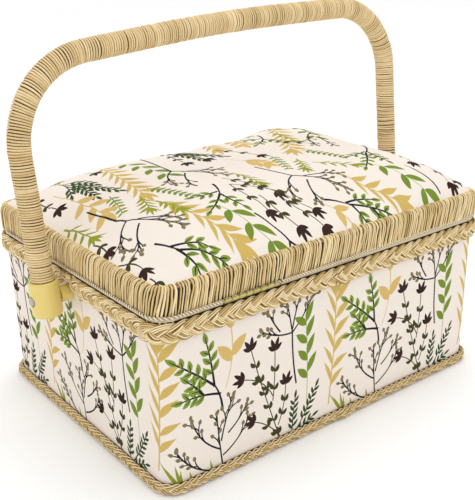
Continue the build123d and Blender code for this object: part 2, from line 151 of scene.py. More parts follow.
class Shader:
    """A node material built step by step, with one Principled shader."""

    def __init__(self, name, rough, **inputs):
        self.material = bpy.data.materials.new(name)
        self.material.use_nodes = True
        self.nodes = self.material.node_tree.nodes
        self.links = self.material.node_tree.links
        self.shader = self.nodes["Principled BSDF"]
        self.shader.inputs["Roughness"].default_value = rough
        for key, value in inputs.items():
            self.shader.inputs[key.replace("_", " ")].default_value = value
        self.height = None

    def node(self, kind, settings=(), **inputs):
        made = self.nodes.new(kind)
        for key, value in dict(settings).items():
            setattr(made, key, value)
        for key, value in inputs.items():
            numbered = key[0] == "i" and key[1:].isdigit()
            socket = made.inputs[int(key[1:]) if numbered else key.replace("_", " ")]
            if isinstance(value, bpy.types.NodeSocket):
                self.links.new(value, socket)
            else:
                socket.default_value = value
        return made

    def place(self, attribute=None):
        """Where the pattern is read: a stored attribute in mm, or the object's own coordinates in mm."""
        if attribute:
            return self.node("ShaderNodeAttribute", {"attribute_name": attribute}).outputs["Vector"]
        coordinates = self.node("ShaderNodeTexCoord").outputs["Object"]
        made = self.node("ShaderNodeVectorMath", {"operation": "SCALE"}, i0=coordinates, Scale=1 / MM)
        return made.outputs[0]

    def stretch(self, vector, x, y, z):
        made = self.node("ShaderNodeVectorMath", {"operation": "MULTIPLY"}, i0=vector, i1=(x, y, z))
        return made.outputs[0]

    def noise(self, vector, scale, detail=3.0, rough=0.55):
        made = self.node("ShaderNodeTexNoise", Vector=vector, Scale=scale, Detail=detail, Roughness=rough)
        return made.outputs["Factor" if "Factor" in made.outputs else "Fac"]

    def wave(self, vector, scale, axis, warp=0.0):
        settings = {"wave_type": "BANDS", "bands_direction": axis}
        made = self.node("ShaderNodeTexWave", settings, Vector=vector, Scale=scale, Distortion=warp)
        return made.outputs["Factor" if "Factor" in made.outputs else "Fac"]

    def ramp(self, factor, *stops):
        made = self.node("ShaderNodeValToRGB", i0=factor)
        ramp = made.color_ramp
        while len(ramp.elements) < len(stops):
            ramp.elements.new(0.5)
        for element, (position, colour) in zip(ramp.elements, stops):
            element.position = position
            element.color = (*colour, 1.0)
        return made.outputs["Color"]

    def mix(self, factor, a, b, blend="MIX"):
        made = self.node("ShaderNodeMix", {"data_type": "RGBA", "blend_type": blend})
        for socket, value in ((made.inputs[0], factor), (made.inputs[6], a), (made.inputs[7], b)):
            if isinstance(value, bpy.types.NodeSocket):
                self.links.new(value, socket)
            else:
                socket.default_value = value if isinstance(value, float) else (*value, 1.0)
        return made.outputs[2]

    def maths(self, operation, a, b):
        return self.node("ShaderNodeMath", {"operation": operation}, i0=a, i1=b).outputs[0]

    def colour(self, socket):
        self.links.new(socket, self.shader.inputs["Base Color"])

    def roughness(self, factor, low, high):
        made = self.node("ShaderNodeMapRange", i0=factor, i1=0.0, i2=1.0, i3=low, i4=high)
        self.links.new(made.outputs[0], self.shader.inputs["Roughness"])

    def relief(self, factor, depth):
        """A bump of that depth in mm, on top of any earlier one."""
        made = self.node("ShaderNodeBump", Height=factor, Strength=1.0, Distance=depth * MM)
        if self.height is not None:
            self.links.new(self.height, made.inputs["Normal"])
        self.height = made.outputs["Normal"]
        self.links.new(self.height, self.shader.inputs["Normal"])


def plain_tones(shader, vector, scale, light, dark):
    tone = shader.noise(vector, scale, 4.0)
    shader.colour(shader.mix(tone, dark, light))
    return tone


def print_cotton():
    """Cotton with the ink held in the face colours, over a plain weave."""
    s = Shader("print_cotton", 0.9, Specular_IOR_Level=0.05)
    flat = s.place("flat")
    ink = s.node("ShaderNodeAttribute", {"attribute_name": "ink"}).outputs["Color"]
    weave = s.maths("MULTIPLY", s.wave(flat, 2.2, "X"), s.wave(flat, 2.2, "Y"))
    mottle = s.noise(flat, 0.05, 4.0)
    worn = s.mix(s.maths("MULTIPLY", mottle, 0.035), ink, srgb(0.93, 0.89, 0.86))
    s.colour(s.mix(s.maths("MULTIPLY", weave, 0.03), worn, srgb(0.6, 0.56, 0.52)))
    s.roughness(s.noise(flat, 1.2), 0.74, 0.92)
    s.relief(weave, 0.05)
    s.relief(s.noise(flat, 0.35, 3.0), 0.12)
    return s.material


def straw(name, dark, middle, light, depth=0.22, patch=0.45):
    """Twisted paper straw: fine creases run along each strand, every strand has its own tone, and each
    strand's sides are darkened as painted shade between the straws.
    """
    s = Shader(name, 0.62, Specular_IOR_Level=0.12)
    strand = s.place("strand")
    shade = s.node("ShaderNodeAttribute", {"attribute_name": "shade"}).outputs["Fac"]
    streak = s.noise(s.stretch(strand, 0.12, 2.6, 1.0), 1.0, 4.0, 0.65)
    blotch = s.noise(s.stretch(strand, 0.06, 0.2, 1.0), 1.0, 2.0)
    tone = s.maths("ADD", s.maths("MULTIPLY", streak, 1 - patch), s.maths("MULTIPLY", blotch, patch))
    tone = s.maths("ADD", s.maths("MULTIPLY", tone, 0.75), s.maths("SUBTRACT", shade, 0.375))
    lit = s.ramp(tone, (0.16, dark), (0.42, middle), (0.68, light))
    # painted shade: the colour darkens towards each strand's sides and stands in for the shade in the gaps
    # between neighbouring straws
    across = s.node("ShaderNodeSeparateXYZ", i0=strand).outputs["Y"]
    shadow = ((0.5, (1, 1, 1)), (0.9, (0.6, 0.48, 0.33)), (1.0, (0.2, 0.12, 0.04)))
    edge = s.ramp(s.maths("ABSOLUTE", across, 0.0), *shadow)
    s.colour(s.mix(1.0, lit, edge, "MULTIPLY"))
    s.roughness(streak, 0.5, 0.8)
    s.relief(streak, depth)
    return s.material


def satin(name, light, dark, rough=0.42):
    s = Shader(name, rough, Sheen_Weight=0.25, Anisotropic=0.4)
    place = s.place()
    plain_tones(s, place, 0.03, light, dark)
    s.roughness(s.noise(place, 0.4), rough - 0.08, rough + 0.12)
    s.relief(s.wave(place, 2.0, "DIAGONAL", 0.4), 0.02)
    s.relief(s.noise(place, 0.12, 3.0), 0.25)
    return s.material


def woven(name, light, dark, pitch=1.0, rough=0.88, depth=0.08):
    s = Shader(name, rough, Sheen_Weight=0.15)
    place = s.place()
    weave = s.maths("MULTIPLY", s.wave(place, 1 / pitch, "X"), s.wave(place, 1 / pitch, "Y"))
    tone = s.noise(place, 0.08, 4.0)
    s.colour(s.mix(s.maths("MULTIPLY", weave, 0.35), s.mix(tone, dark, light), dark))
    s.roughness(tone, rough - 0.1, rough)
    s.relief(weave, depth)
    return s.material


def greyboard():
    s = Shader("board", 0.86)
    place = s.place()
    grain = s.noise(s.stretch(place, 0.25, 0.25, 2.4), 1.0, 5.0)
    fibres = s.noise(place, 1.5, 5.0, 0.7)
    s.colour(s.ramp(grain, (0.3, srgb(0.52, 0.42, 0.3)), (0.7, srgb(0.72, 0.61, 0.45))))
    s.roughness(fibres, 0.75, 0.95)
    s.relief(fibres, 0.06)
    return s.material


def metal(name, light, dark, rough):
    s = Shader(name, rough, Metallic=1.0)
    place = s.place()
    brushed = s.noise(s.stretch(place, 0.3, 3.0, 3.0), 1.0, 4.0)
    spots = s.noise(place, 0.35, 4.0)
    s.colour(s.mix(spots, dark, light))
    s.roughness(brushed, rough - 0.08, rough + 0.14)
    s.relief(brushed, 0.01)
    return s.material


def plastic(name, light, dark, rough, coat=0.0, **inputs):
    s = Shader(name, rough, Coat_Weight=coat, **inputs)
    place = s.place()
    plain_tones(s, place, 0.04, light, dark)
    orange_peel = s.noise(place, 0.9, 2.0)
    s.roughness(s.noise(place, 0.15, 4.0), rough - 0.05, rough + 0.08)
    s.relief(orange_peel, 0.015)
    return s.material


def foam():
    s = Shader("foam", 0.95)
    place = s.place()
    cells = s.noise(place, 2.0, 5.0, 0.8)
    s.colour(s.mix(cells, srgb(0.84, 0.83, 0.78), srgb(0.95, 0.94, 0.9)))
    s.roughness(cells, 0.88, 0.98)
    s.relief(cells, 0.15)
    return s.material


PRINT = print_cotton()
RAFFIA = straw("raffia", srgb(0.52, 0.39, 0.19), srgb(0.85, 0.75, 0.53), srgb(0.99, 0.93, 0.77), 0.25, 0.3)
CORD = straw("raffia_cord", srgb(0.56, 0.43, 0.23), srgb(0.84, 0.73, 0.52), srgb(0.98, 0.91, 0.75), 0.2, 0.2)
PLAIT = straw("raffia_braid", srgb(0.4, 0.26, 0.07), srgb(0.78, 0.66, 0.4), srgb(0.98, 0.91, 0.74), 0.3, 0.4)
PIPING = straw("piping", srgb(0.6, 0.52, 0.4), srgb(0.87, 0.82, 0.7), srgb(0.96, 0.94, 0.88), 0.12)
CANE = straw("cane", srgb(0.35, 0.3, 0.1), srgb(0.68, 0.62, 0.3), srgb(0.85, 0.81, 0.5), 0.08)
SATIN = satin("lining_satin", srgb(0.93, 0.88, 0.75), srgb(0.88, 0.81, 0.66))
# painted shade: dark cloth set behind the rim straws and plaits and inside the handle cord, standing in for
# the shade in the gaps between them; the same material also colours the real dark ties over the cane
GAP_SHADE_AND_TIES = woven("painted_gap_shade_and_ties", srgb(0.2, 0.13, 0.06), srgb(0.12, 0.08, 0.03), 1.5)
CUSHION = woven("pincushion_cloth", srgb(0.82, 0.66, 0.3), srgb(0.7, 0.53, 0.2), 0.9)
ELASTIC = woven("elastic_band", srgb(0.97, 0.95, 0.9), srgb(0.88, 0.85, 0.78), 0.9, 0.75, 0.05)
BASE_CLOTH = woven("base_cloth", srgb(0.76, 0.69, 0.56), srgb(0.66, 0.58, 0.45), 1.1)
SLOTS = {
    "board": greyboard(),
    "brass": metal("brass", srgb(0.93, 0.82, 0.55), srgb(0.86, 0.72, 0.44), 0.34),
    "steel": metal("steel", srgb(0.8, 0.78, 0.74), srgb(0.62, 0.6, 0.56), 0.32),
    "ferrule_plastic": plastic("ferrule_plastic", srgb(0.9, 0.81, 0.47), srgb(0.86, 0.76, 0.41), 0.3, 0.3),
    "handle_core": plastic("handle_core", srgb(0.78, 0.68, 0.44), srgb(0.7, 0.6, 0.38), 0.55),
    "tray_plastic": plastic(
        "tray_plastic", srgb(0.95, 0.93, 0.87), srgb(0.92, 0.9, 0.83), 0.3, 0.2, Subsurface_Weight=0.05
    ),
    "foam": foam(),
}


# ---- meshes

class Solid:
    """Vertices in mm and faces of one piece, gathered from several parts."""

    def __init__(self):
        self.points, self.faces, self.kinds = [], [], []
        self.strand, self.shade = [], []
        self.count = 0

    def add(self, points, faces, kind=0, strand=None, shade=0.5):
        points = np.asarray(points, float)
        self.points.append(points)
        self.strand.append(np.zeros((len(points), 3)) if strand is None else strand)
        self.shade.append(np.full(len(points), shade))
        self.faces.extend(tuple(int(i) + self.count for i in f) for f in faces)
        self.kinds.extend([kind] * len(faces))
        self.count += len(points)

    def tube(self, path, out, wide, thick, sides=6, kind=0, shade=0.5, number=0.0, round_ends=True):
        """A closed strand along path. wide and thick are half sizes, one number or one for each point."""
        path = np.asarray(path, float)
        count = len(path)
        forward = np.gradient(path, axis=0)
        forward /= np.linalg.norm(forward, axis=1)[:, None]
        out = np.broadcast_to(out, path.shape).astype(float)
        out = out - (out * forward).sum(1)[:, None] * forward
        out /= np.linalg.norm(out, axis=1)[:, None]
        side = np.cross(forward, out)
        taper = np.ones(count)
        if round_ends:
            taper[0] = taper[-1] = 0.55
        wide = (np.broadcast_to(wide, count) * taper)[:, None, None]
        thick = (np.broadcast_to(thick, count) * taper)[:, None, None]
        angle = np.arange(sides) * 2 * math.pi / sides
        sideways, outward = np.cos(angle)[None, :, None], np.sin(angle)[None, :, None]
        ring = side[:, None] * sideways * wide + out[:, None] * outward * thick
        points = (path[:, None] + ring).reshape(-1, 3)
        i = np.arange(count - 1)[:, None] * sides
        j = np.arange(sides)[None]
        k = (j + 1) % sides
        faces = np.stack((i + j, i + k, i + k + sides, i + j + sides), -1).reshape(-1, 4).tolist()
        faces.append(list(range(sides - 1, -1, -1)))
        faces.append(list(range((count - 1) * sides, count * sides)))
        run = distances(path)
        strand = np.zeros((count, sides, 3))
        strand[..., 0] = run[:, None]
        strand[..., 1] = np.cos(angle)[None]
        strand[..., 2] = number * 3.17 + np.sin(angle)[None] * 0.7
        self.add(points, faces, kind, strand.reshape(-1, 3), shade)

    def grid(self, points, kind=0, closed=False, flip=False, strand=None, shade=0.5):
        """A sheet through rows of points; closed joins the last column to the first."""
        rows, columns = points.shape[:2]
        i = np.arange(rows - 1)[:, None] * columns
        j = np.arange(columns if closed else columns - 1)[None]
        k = (j + 1) % columns
        faces = np.stack((i + j, i + k, i + k + columns, i + j + columns), -1).reshape(-1, 4)
        if flip:
            faces = faces[:, ::-1]
        self.add(points.reshape(-1, 3), faces.tolist(), kind, strand, shade)

    def cap(self, count, kind=0, flip=False):
        """Closes the ring of the last count points with one face."""
        ring = range(self.count - count, self.count)
        self.faces.append(tuple(reversed(ring)) if flip else tuple(ring))
        self.kinds.append(kind)

    def make(self, name, materials):
        mesh = bpy.data.meshes.new(name)
        points = np.vstack(self.points) * MM
        mesh.from_pydata(points.tolist(), [], self.faces)
        for material in materials:
            mesh.materials.append(material)
        mesh.polygons.foreach_set("material_index", self.kinds)
        mesh.polygons.foreach_set("use_smooth", [True] * len(self.faces))
        strand = mesh.attributes.new("strand", "FLOAT_VECTOR", "POINT")
        strand.data.foreach_set("vector", np.vstack(self.strand).ravel())
        shade = mesh.attributes.new("shade", "FLOAT", "POINT")
        shade.data.foreach_set("value", np.concatenate(self.shade))
        mesh.update()
        return linked(name, mesh)


def hold(made, body, slot, *nodes):
    """The piece rides on that body and stands for those CAD nodes, which are hidden; slot is not used."""
    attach(made, body)
    if nodes:
        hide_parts(*nodes)
    return made


# ---- the printed pattern, drawn flat in mm

INKS = {
    "ground": (0.952, 0.912, 0.868),
    "black": (0.05, 0.07, 0.1),
    "navy": (0.05, 0.08, 0.11),
    "green": (0.5, 0.6, 0.21),
    "leaf": (0.45, 0.55, 0.15),
    "deep": (0.24, 0.36, 0.14),
    "olive": (0.24, 0.23, 0.04),
    "lime": (0.58, 0.6, 0.14),
    "gold": (0.82, 0.7, 0.38),
    "honey": (0.85, 0.72, 0.43),
    "taupe": (0.5, 0.44, 0.3),
    "plum": (0.17, 0.06, 0.05),
    "mist": (0.68, 0.72, 0.5),
}
INK_NAMES = list(INKS)


def curve(base, tip, bend=0.0, count=9):
    """A line from base to tip whose middle leans to its left by bend times its length."""
    base, tip = np.array(base, float), np.array(tip, float)
    along = tip - base
    middle = (base + tip) / 2 + bend * np.array((-along[1], along[0]))
    t = np.linspace(0, 1, count)[:, None]
    return (1 - t) ** 2 * base + 2 * t * (1 - t) * middle + t**2 * tip


def at(path, t):
    """Point and heading at share t of a path."""
    k = min(max(t, 0.0), 1.0) * (len(path) - 1)
    i = min(int(k), len(path) - 2)
    step = path[i + 1] - path[i]
    return path[i] + (k - i) * step, math.atan2(step[1], step[0])


class Pattern:
    """Plants as flat shapes, each with its ink; a later shape covers an earlier one."""

    def __init__(self, seed):
        self.shapes = []
        self.random = np.random.default_rng(seed)

    def wobble(self, amount):
        return self.random.uniform(-amount, amount)

    def add(self, points, ink):
        x, y = points[:, 0], points[:, 1]
        if (x * np.roll(y, -1) - np.roll(x, -1) * y).sum() < 0:
            points = points[::-1]
        self.shapes.append((points, ink))

    def stem(self, path, start, end, ink):
        step = np.gradient(path, axis=0)
        side = np.stack((-step[:, 1], step[:, 0]), 1) / np.linalg.norm(step, axis=1)[:, None]
        half = np.linspace(start, end, len(path))[:, None] / 2
        tip = path[-1] + step[-1] / np.linalg.norm(step[-1]) * end / 2
        self.add(np.vstack((path + side * half, tip, (path - side * half)[::-1])), ink)

    def leaf(self, base, angle, length, width, ink, bend=0.0, full=1.0, vein=None):
        t = np.linspace(0, 1, 8)[1:-1]
        half = width / 2 * np.sin(math.pi * t**0.85) ** full
        middle = np.stack((t * length, 4 * bend * length * t * (1 - t)), 1)
        up = middle + np.stack((np.zeros(6), half), 1)
        down = middle - np.stack((np.zeros(6), half), 1)
        points = np.vstack(((0, 0), down, (length, 0), up[::-1]))
        turn = np.array(((math.cos(angle), math.sin(angle)), (-math.sin(angle), math.cos(angle))))
        self.add(points @ turn + base, ink)
        if vein:
            ridge = np.array(((-0.3, 0), (length * 0.3, 2 * bend * length * 0.3), (length * 0.62, 0)))
            self.stem(ridge @ turn + base, 0.9, 0.5, vein)

    def fern(self, base, tip, bend=0.03, side=1, pairs=6, length=22.0, width=5.0, ink="gold"):
        """Pointed leaves: broad and spreading on one side, slim and upright on the other."""
        path = curve(base, tip, bend, 13)
        self.stem(path, 1.3, 0.8, ink)
        for k in range(pairs):
            t = 0.16 + 0.74 * k / (pairs - 1)
            size = 0.86 + 0.26 * t
            p, a = at(path, t)
            turn = side * (0.86 + self.wobble(0.16))
            self.leaf(p, a - turn, length * 0.86 * size, width * size, ink, 0.1 * side, 1.2)
            p, a = at(path, t + 0.04)
            turn = side * (0.52 + self.wobble(0.1))
            self.leaf(p, a + turn, length * size, width * 0.6, ink, -0.06 * side, 1.2)
        p, a = at(path, 0.97)
        for turn, size in ((-0.4, 0.95), (-0.02, 1.1), (0.3, 0.9)):
            self.leaf(p, a + turn, length * size, width * 0.8, ink)

    def limbs(self, limbs, leaf=(9.6, 4.2), stem=(2.0, 1.0), gap=7.4, ink="green", vein="navy", turn=0.78):
        """Branches that each carry pairs of leaves from a given share on."""
        for base, tip, bend, first in limbs:
            path = curve(base, tip, bend)
            self.stem(path, *stem, vein)
            if first >= 1:
                continue
            count = max(2, int(np.linalg.norm(path[-1] - path[0]) * (1 - first) / gap))
            for k in range(count):
                t = first + (1 - first) * (k + 0.3) / (count + 0.3)
                size = leaf[0] * (1 - 0.18 * k / count)
                for sign, ahead in ((1, 0.0), (-1, 0.05)):
                    p, a = at(path, t + ahead)
                    a += sign * (turn + self.wobble(0.12))
                    self.leaf(p, a, size, leaf[1], ink, 0.04 * sign, 0.8, vein)
            p, a = at(path, 1.0)
            self.leaf(p, a, leaf[0], leaf[1], ink, 0.0, 0.8, vein)

    def bush(self, branches, ink="black", bud="taupe", weight=1.35, reach=12.0):
        """Bare branches whose twigs curl up and end in buds."""
        for base, tip, bend, sides in branches:
            path = curve(base, tip, bend, 11)
            self.stem(path, weight, weight * 0.75, ink)
            ends = [at(path, 1.0)]
            for k, sign in enumerate(sides):
                t = 0.3 + 0.62 * (k + 0.5) / len(sides)
                p, a = at(path, t)
                out = a + sign * (0.8 + self.wobble(0.15))
                size = reach * (1.1 - 0.45 * t) * (1 + self.wobble(0.15))
                end = p + size * heading(out - sign * 0.35)
                twig = curve(p, end, -0.2 * sign, 6)
                self.stem(twig, weight * 0.8, weight * 0.65, ink)
                ends.append(at(twig, 1.0))
                p, a = at(twig, 0.5)
                size *= 0.55
                short = curve(p, p + size * heading(a - sign * 0.75), 0.1 * sign, 4)
                self.stem(short, weight * 0.7, weight * 0.6, ink)
                ends.append(at(short, 1.0))
            for p, a in ends:
                self.leaf(p - 1.0 * heading(a), a, 4.2, 2.9, bud, 0.0, 0.7)

    def trunk(self, *points, weight=1.5):
        for base, tip, bend in points:
            self.stem(curve(base, tip, bend, 9), weight, weight * 0.9, "black")

    def flowers(self, stems, gap=12.0):
        """Thin stems with small paired leaves, each under a head of pointed petals if it has one."""
        for base, tip, bend, head in stems:
            path = curve(base, tip, bend, 11)
            self.stem(path, 0.9, 0.8, "olive")
            length = np.linalg.norm(path[-1] - path[0])
            count = max(1, int((length - 8) / gap))
            for k in range(count):
                t = (6 + (k + 0.2) * (length - 12) / count) / length
                for sign in (1, -1):
                    p, a = at(path, t + 0.01 * sign)
                    self.leaf(p, a + sign * (0.55 + self.wobble(0.12)), 6.6, 3.2, "olive", 0.1 * sign, 0.75)
            if head:
                p, a = at(path, 1.0)
                for turn in (-1.15, 1.1):
                    self.leaf(p, a + turn, 5.0, 2.4, "olive")
                for turn, size in ((-0.95, 8.0), (0.9, 7.6), (-0.36, 10.8), (0.3, 10.2)):
                    self.leaf(p - 0.8 * heading(a), a + turn * head, size, 3.4, "plum", 0.0, 0.7)

    def broad(self, base, tip, bend=0.02, side=1, pairs=4, first=0.3):
        """Fuller leaves on one side, long ones on the other, along a pale stem."""
        path = curve(base, tip, bend)
        self.stem(path, 0.8, 0.7, "mist")
        for k in range(pairs):
            t = first + (0.97 - first) * k / (pairs - 1)
            p, a = at(path, t)
            self.leaf(p, a + side * (0.78 + self.wobble(0.12)), 14.0, 6.0, "leaf", -0.03, 0.85)
            p, a = at(path, t + 0.06)
            self.leaf(p, a - side * (0.5 + self.wobble(0.08)), 17.0, 5.4, "leaf", 0.04, 0.9)

    def sprig(self, base, tip, bend=0.12, pairs=3, leaf=(14.0, 6.2), ink="honey", top=True):
        """A thin curved stalk that carries a few full leaves on its upper half."""
        path = curve(base, tip, bend)
        self.stem(path, 0.6, 0.9, ink)
        for k in range(pairs):
            t = 0.45 + 0.45 * k / max(1, pairs - 1)
            for sign, ahead in ((1, 0.0), (-1, 0.08)):
                p, a = at(path, t + ahead)
                self.leaf(p, a + sign * (0.75 + self.wobble(0.15)), leaf[0], leaf[1], ink, -0.05 * sign, 0.75)
        if top:
            p, a = at(path, 1.0)
            self.leaf(p, a, leaf[0], leaf[1], ink, 0.0, 0.75)

    def fernlet(self, base, tip, bend=0.05, ink="leaf", pairs=8):
        path = curve(base, tip, bend)
        self.stem(path, 0.7, 0.5, "deep")
        for k in range(pairs):
            t = 0.12 + 0.85 * k / (pairs - 1)
            for sign in (1, -1):
                p, a = at(path, t)
                self.leaf(p, a + sign * 0.95, 7.0 * (1 - 0.3 * t), 2.7, ink, -0.05 * sign, 0.7)

    def blades(self, base, tips, ink="lime", width=2.6):
        for tip in tips:
            step = np.array(tip, float) - base
            length = float(np.linalg.norm(step))
            angle = math.atan2(step[1], step[0])
            self.leaf(np.array(base, float), angle, length, width, ink, self.wobble(0.05))


def wall_pattern():
    """One repeat of the cotton round the case, x along it and y up."""
    p = Pattern(3)
    p.fern((-4, 16), (1, 108), -0.03, 1, 6, 23.0, 5.6)
    p.blades((14, -2), ((-3, 24), (2, 19), (8, 22), (12, 17)))
    p.blades((21, -2), ((19, 13), (23, 8), (27, 6)))
    p.blades((38, 0), ((36, 15), (31, 5)), "lime", 2.2)
    p.limbs((
        ((48, 50), (41, 73), -0.14, 1.0), ((42, 71), (13, 96), -0.03, 0.15),
        ((42, 70), (37, 103), -0.04, 0.25),
    ))
    p.limbs((((47, 63), (17, 68), -0.1, 0.4), ((33, 67), (22, 80), -0.05, 0.2)), gap=5.8)
    p.bush((
        ((47, 3), (10, 31), 0.24, (-1, -1, -1, 1)),
        ((47, 3), (43, 48), 0.02, (1, -1, 1)),
        ((45, 20), (23, 50), 0.2, (-1, -1, 1)),
        ((47, 14), (70, 35), -0.18, (1, 1)),
        ((46, 26), (57, 57), 0.05, (1, -1, 1)),
        ((52, 30), (68, 46), -0.12, (1, -1)),
    ))
    p.sprig((51, 66), (57, 108), -0.14, 1, (18.0, 8.0))
    p.flowers((
        ((100, 3), (73, 87), 0.02, 1),
        ((92, 40), (94, 80), -0.04, 1),
        ((92, 44), (66, 66), -0.24, 1),
        ((97, 18), (104, 50), -0.1, 1),
        ((100, 3), (75, 29), -0.2, 1),
    ))
    p.trunk(((114, 46), (110, 88), 0.05))
    p.bush((
        ((110, 88), (83, 97), 0.16, (-1, -1, 1)),
        ((110, 88), (130, 113), -0.1, (1, 1, -1)),
        ((110, 88), (104, 116), -0.03, (1, 1, -1)),
        ((110, 90), (118, 117), 0.04, (1, -1)),
        ((99, 92), (88, 110), 0.05, (-1, 1)),
    ), "black", "taupe", 1.3, 9.0)
    p.broad((124, 14), (123, 92), -0.03, 1, 4, 0.42)
    p.limbs((
        ((110, -1), (113, 34), 0.04, 0.25), ((112, 4), (133, 36), -0.06, 0.3),
        ((111, 0), (130, 12), 0.1, 0.3),
    ), (7.2, 2.5), (1.1, 0.7), 5.0, "deep", "navy", 0.7)
    return p


def lid_pattern():
    """The cotton over the lid, x to the right and y to the back; its plants grow towards the front."""
    p = Pattern(8)
    p.fern((-80, 92), (-95, -12), 0.0, -1, 8, 20.0, 5.2)
    p.fern((-98, -28), (-80, -100), -0.03, -1, 6, 21.0, 5.6)
    p.fern((44, -68), (68, -104), -0.05, -1, 4, 20.0, 5.6)
    p.fern((118, 112), (54, -2), 0.0, -1, 9, 21.0, 5.4)
    p.fern((22, 112), (8, 42), 0.02, -1, 6, 20.0, 5.4)
    p.limbs((
        ((-117, 104), (-119, 62), 0.03, 1.0), ((-118, 66), (-102, 12), -0.06, 0.1),
        ((-118, 70), (-106, 40), 0.1, 0.15),
        ((-119, 60), (-117, 18), 0.06, 0.1), ((-119, 62), (-125, 42), 0.06, 0.3),
    ), (9.0, 2.7), (1.0, 0.7), 6.0, "deep", "navy", 0.5)
    p.limbs((
        ((-20, 104), (-26, 60), 0.03, 1.0), ((-25, 64), (-2, 20), -0.06, 0.1),
        ((-25, 62), (-12, 36), 0.1, 0.15),
        ((-26, 60), (-20, 22), 0.06, 0.1),
    ), (9.0, 2.7), (1.0, 0.7), 6.0, "deep", "navy", 0.5)
    p.broad((-66, 78), (-62, 10), 0.02, -1, 4, 0.2)
    p.broad((-70, -66), (-56, -106), -0.02, -1, 3, 0.2)
    p.broad((80, -66), (98, -104), 0.0, -1, 3, 0.15)
    p.broad((136, 96), (103, 26), 0.0, -1, 4, 0.15)
    p.fernlet((-88, -4), (-75, -44), 0.03)
    p.fernlet((59, -6), (75, -42), 0.03)
    p.fernlet((-112, 8), (-120, -23), 0.04, "green", 6)
    p.fernlet((27, -6), (16, -40), 0.04, "green", 6)
    p.fernlet((72, 104), (64, 66), 0.04, "green", 7)
    p.sprig((-131, 60), (-126, -8), 0.04, 3, (17.0, 6.0))
    p.sprig((-6, 10), (10, -20), 0.04, 3, (14.0, 5.6))
    p.sprig((4, -86), (16, -108), 0.1, 1, (13.0, 6.0))
    p.sprig((40, 92), (36, 42), 0.06, 3, (16.0, 6.0))
    for base, tip in (((-100, -14), (-106, -36)), ((-97, -30), (-92, -52)), ((-24, -22), (-21, -50)),
                      ((38, -24), (28, -46)), ((42, -38), (66, -58)), ((-147, 14), (-143, -20)),
                      ((84, 62), (78, 24))):
        p.fern(base, tip, 0.03, 1, 4, 12.0, 2.8, "lime")
    p.trunk(((-131, 8), (-125, -36), 0.0), ((-53, -84), (-42, -108), 0.05), ((104, -78), (112, -108), 0.06))
    p.bush((
        ((-125, -36), (-103, -72), 0.05, (1, 1, -1, 1, -1)),
        ((-125, -36), (-142, -60), -0.2, (1, -1, 1)),
        ((-122, -48), (-136, -72), -0.15, (1, -1)),
        ((-120, -42), (-101, -62), 0.1, (1, 1)),
    ))
    p.trunk(((-46, 73), (-55, 13), -0.05))
    p.bush((
        ((-55, 13), (-29, -22), 0.08, (1, 1, -1, 1, -1)),
        ((-55, 13), (-70, -14), -0.25, (1, -1, 1)),
        ((-50, 2), (-62, -24), -0.12, (1, -1)),
        ((-50, 6), (-26, -8), 0.1, (1, 1)),
    ))
    p.trunk(((-2, -21), (8, -53), -0.05))
    p.bush((
        ((8, -53), (36, -82), 0.08, (1, 1, -1, 1, -1)),
        ((8, -53), (-9, -74), -0.22, (1, -1, 1)),
        ((13, -64), (6, -86), -0.15, (1, -1)),
        ((14, -58), (42, -66), 0.1, (1, 1, -1)),
    ))
    p.trunk(((128, 92), (114, 42), -0.04), ((-42, -108), (-32, -116), 0.0), ((-42, -108), (-47, -116), 0.0))
    p.bush((
        ((114, 42), (134, 6), 0.08, (1, 1, -1, 1)),
        ((114, 42), (82, -2), -0.2, (1, -1, 1, -1)),
        ((108, 26), (95, -10), -0.1, (1, -1)),
    ))
    p.limbs((
        ((-128, -75), (-119, -90), 0.05, 1.0), ((-120, -88), (-118, -114), 0.1, 0.2),
        ((-119, -90), (-95, -112), 0.08, 0.3),
        ((-122, -84), (-101, -96), 0.1, 0.3),
    ), (9.0, 3.6))
    p.limbs((
        ((-51, -34), (-58, -52), 0.1, 1.0), ((-57, -48), (-75, -46), 0.1, 0.2),
        ((-58, -52), (-78, -69), 0.08, 0.25),
        ((-58, -52), (-55, -74), -0.08, 0.2),
    ), (8.4, 3.5))
    p.limbs((
        ((10, -86), (27, -97), 0.05, 1.0), ((27, -97), (31, -114), -0.08, 0.3),
        ((25, -96), (57, -111), 0.05, 0.35),
        ((24, -94), (47, -97), 0.1, 0.3), ((42, -103), (46, -115), 0.0, 0.3),
    ), (8.4, 3.4))
    p.limbs((
        ((122, -14), (97, -42), 0.12, 1.0), ((100, -38), (78, -42), 0.1, 0.2),
        ((97, -42), (72, -67), 0.06, 0.25),
        ((102, -38), (96, -66), -0.08, 0.2),
    ), (8.4, 3.5))
    p.limbs((
        ((70, 64), (62, 46), 0.1, 1.0), ((63, 50), (46, 58), 0.1, 0.2), ((62, 46), (44, 32), 0.08, 0.25),
        ((62, 46), (68, 26), -0.08, 0.2),
    ), (8.4, 3.5))
    p.flowers((
        ((-38, -28), (-21, -70), 0.06, 1), ((-42, -42), (-5, -92), 0.08, 1),
        ((-42, -42), (-40, -84), -0.12, 1),
        ((-36, -68), (-28, -102), -0.05, 1), ((-24, -72), (-8, -106), 0.05, 1),
    ))
    p.flowers((
        ((-147, -28), (-147, -46), 0.1, 1), ((-150, -64), (-145, -88), 0.12, 1),
        ((-147, -98), (-148, -112), 0.1, 1),
    ), 9.0)
    p.flowers((
        ((128, -28), (117, -74), 0.05, 1), ((130, -40), (129, -104), 0.02, 1),
        ((132, -52), (142, -98), 0.05, 1),
        ((144, -10), (146, -60), 0.03, 1),
    ))
    p.flowers((
        ((-30, 76), (-16, 22), 0.03, 1), ((-28, 60), (-34, 24), -0.06, 1), ((6, 40), (22, 2), 0.06, 1),
        ((-140, 78), (-138, 40), -0.05, 1), ((-98, 96), (-92, 66), 0.05, 1), ((92, 112), (88, 84), 0.05, 1),
        ((60, 30), (84, 4), 0.08, 0), ((141, 112), (136, 82), 0.06, 1), ((30, 112), (34, 86), -0.05, 1),
    ))
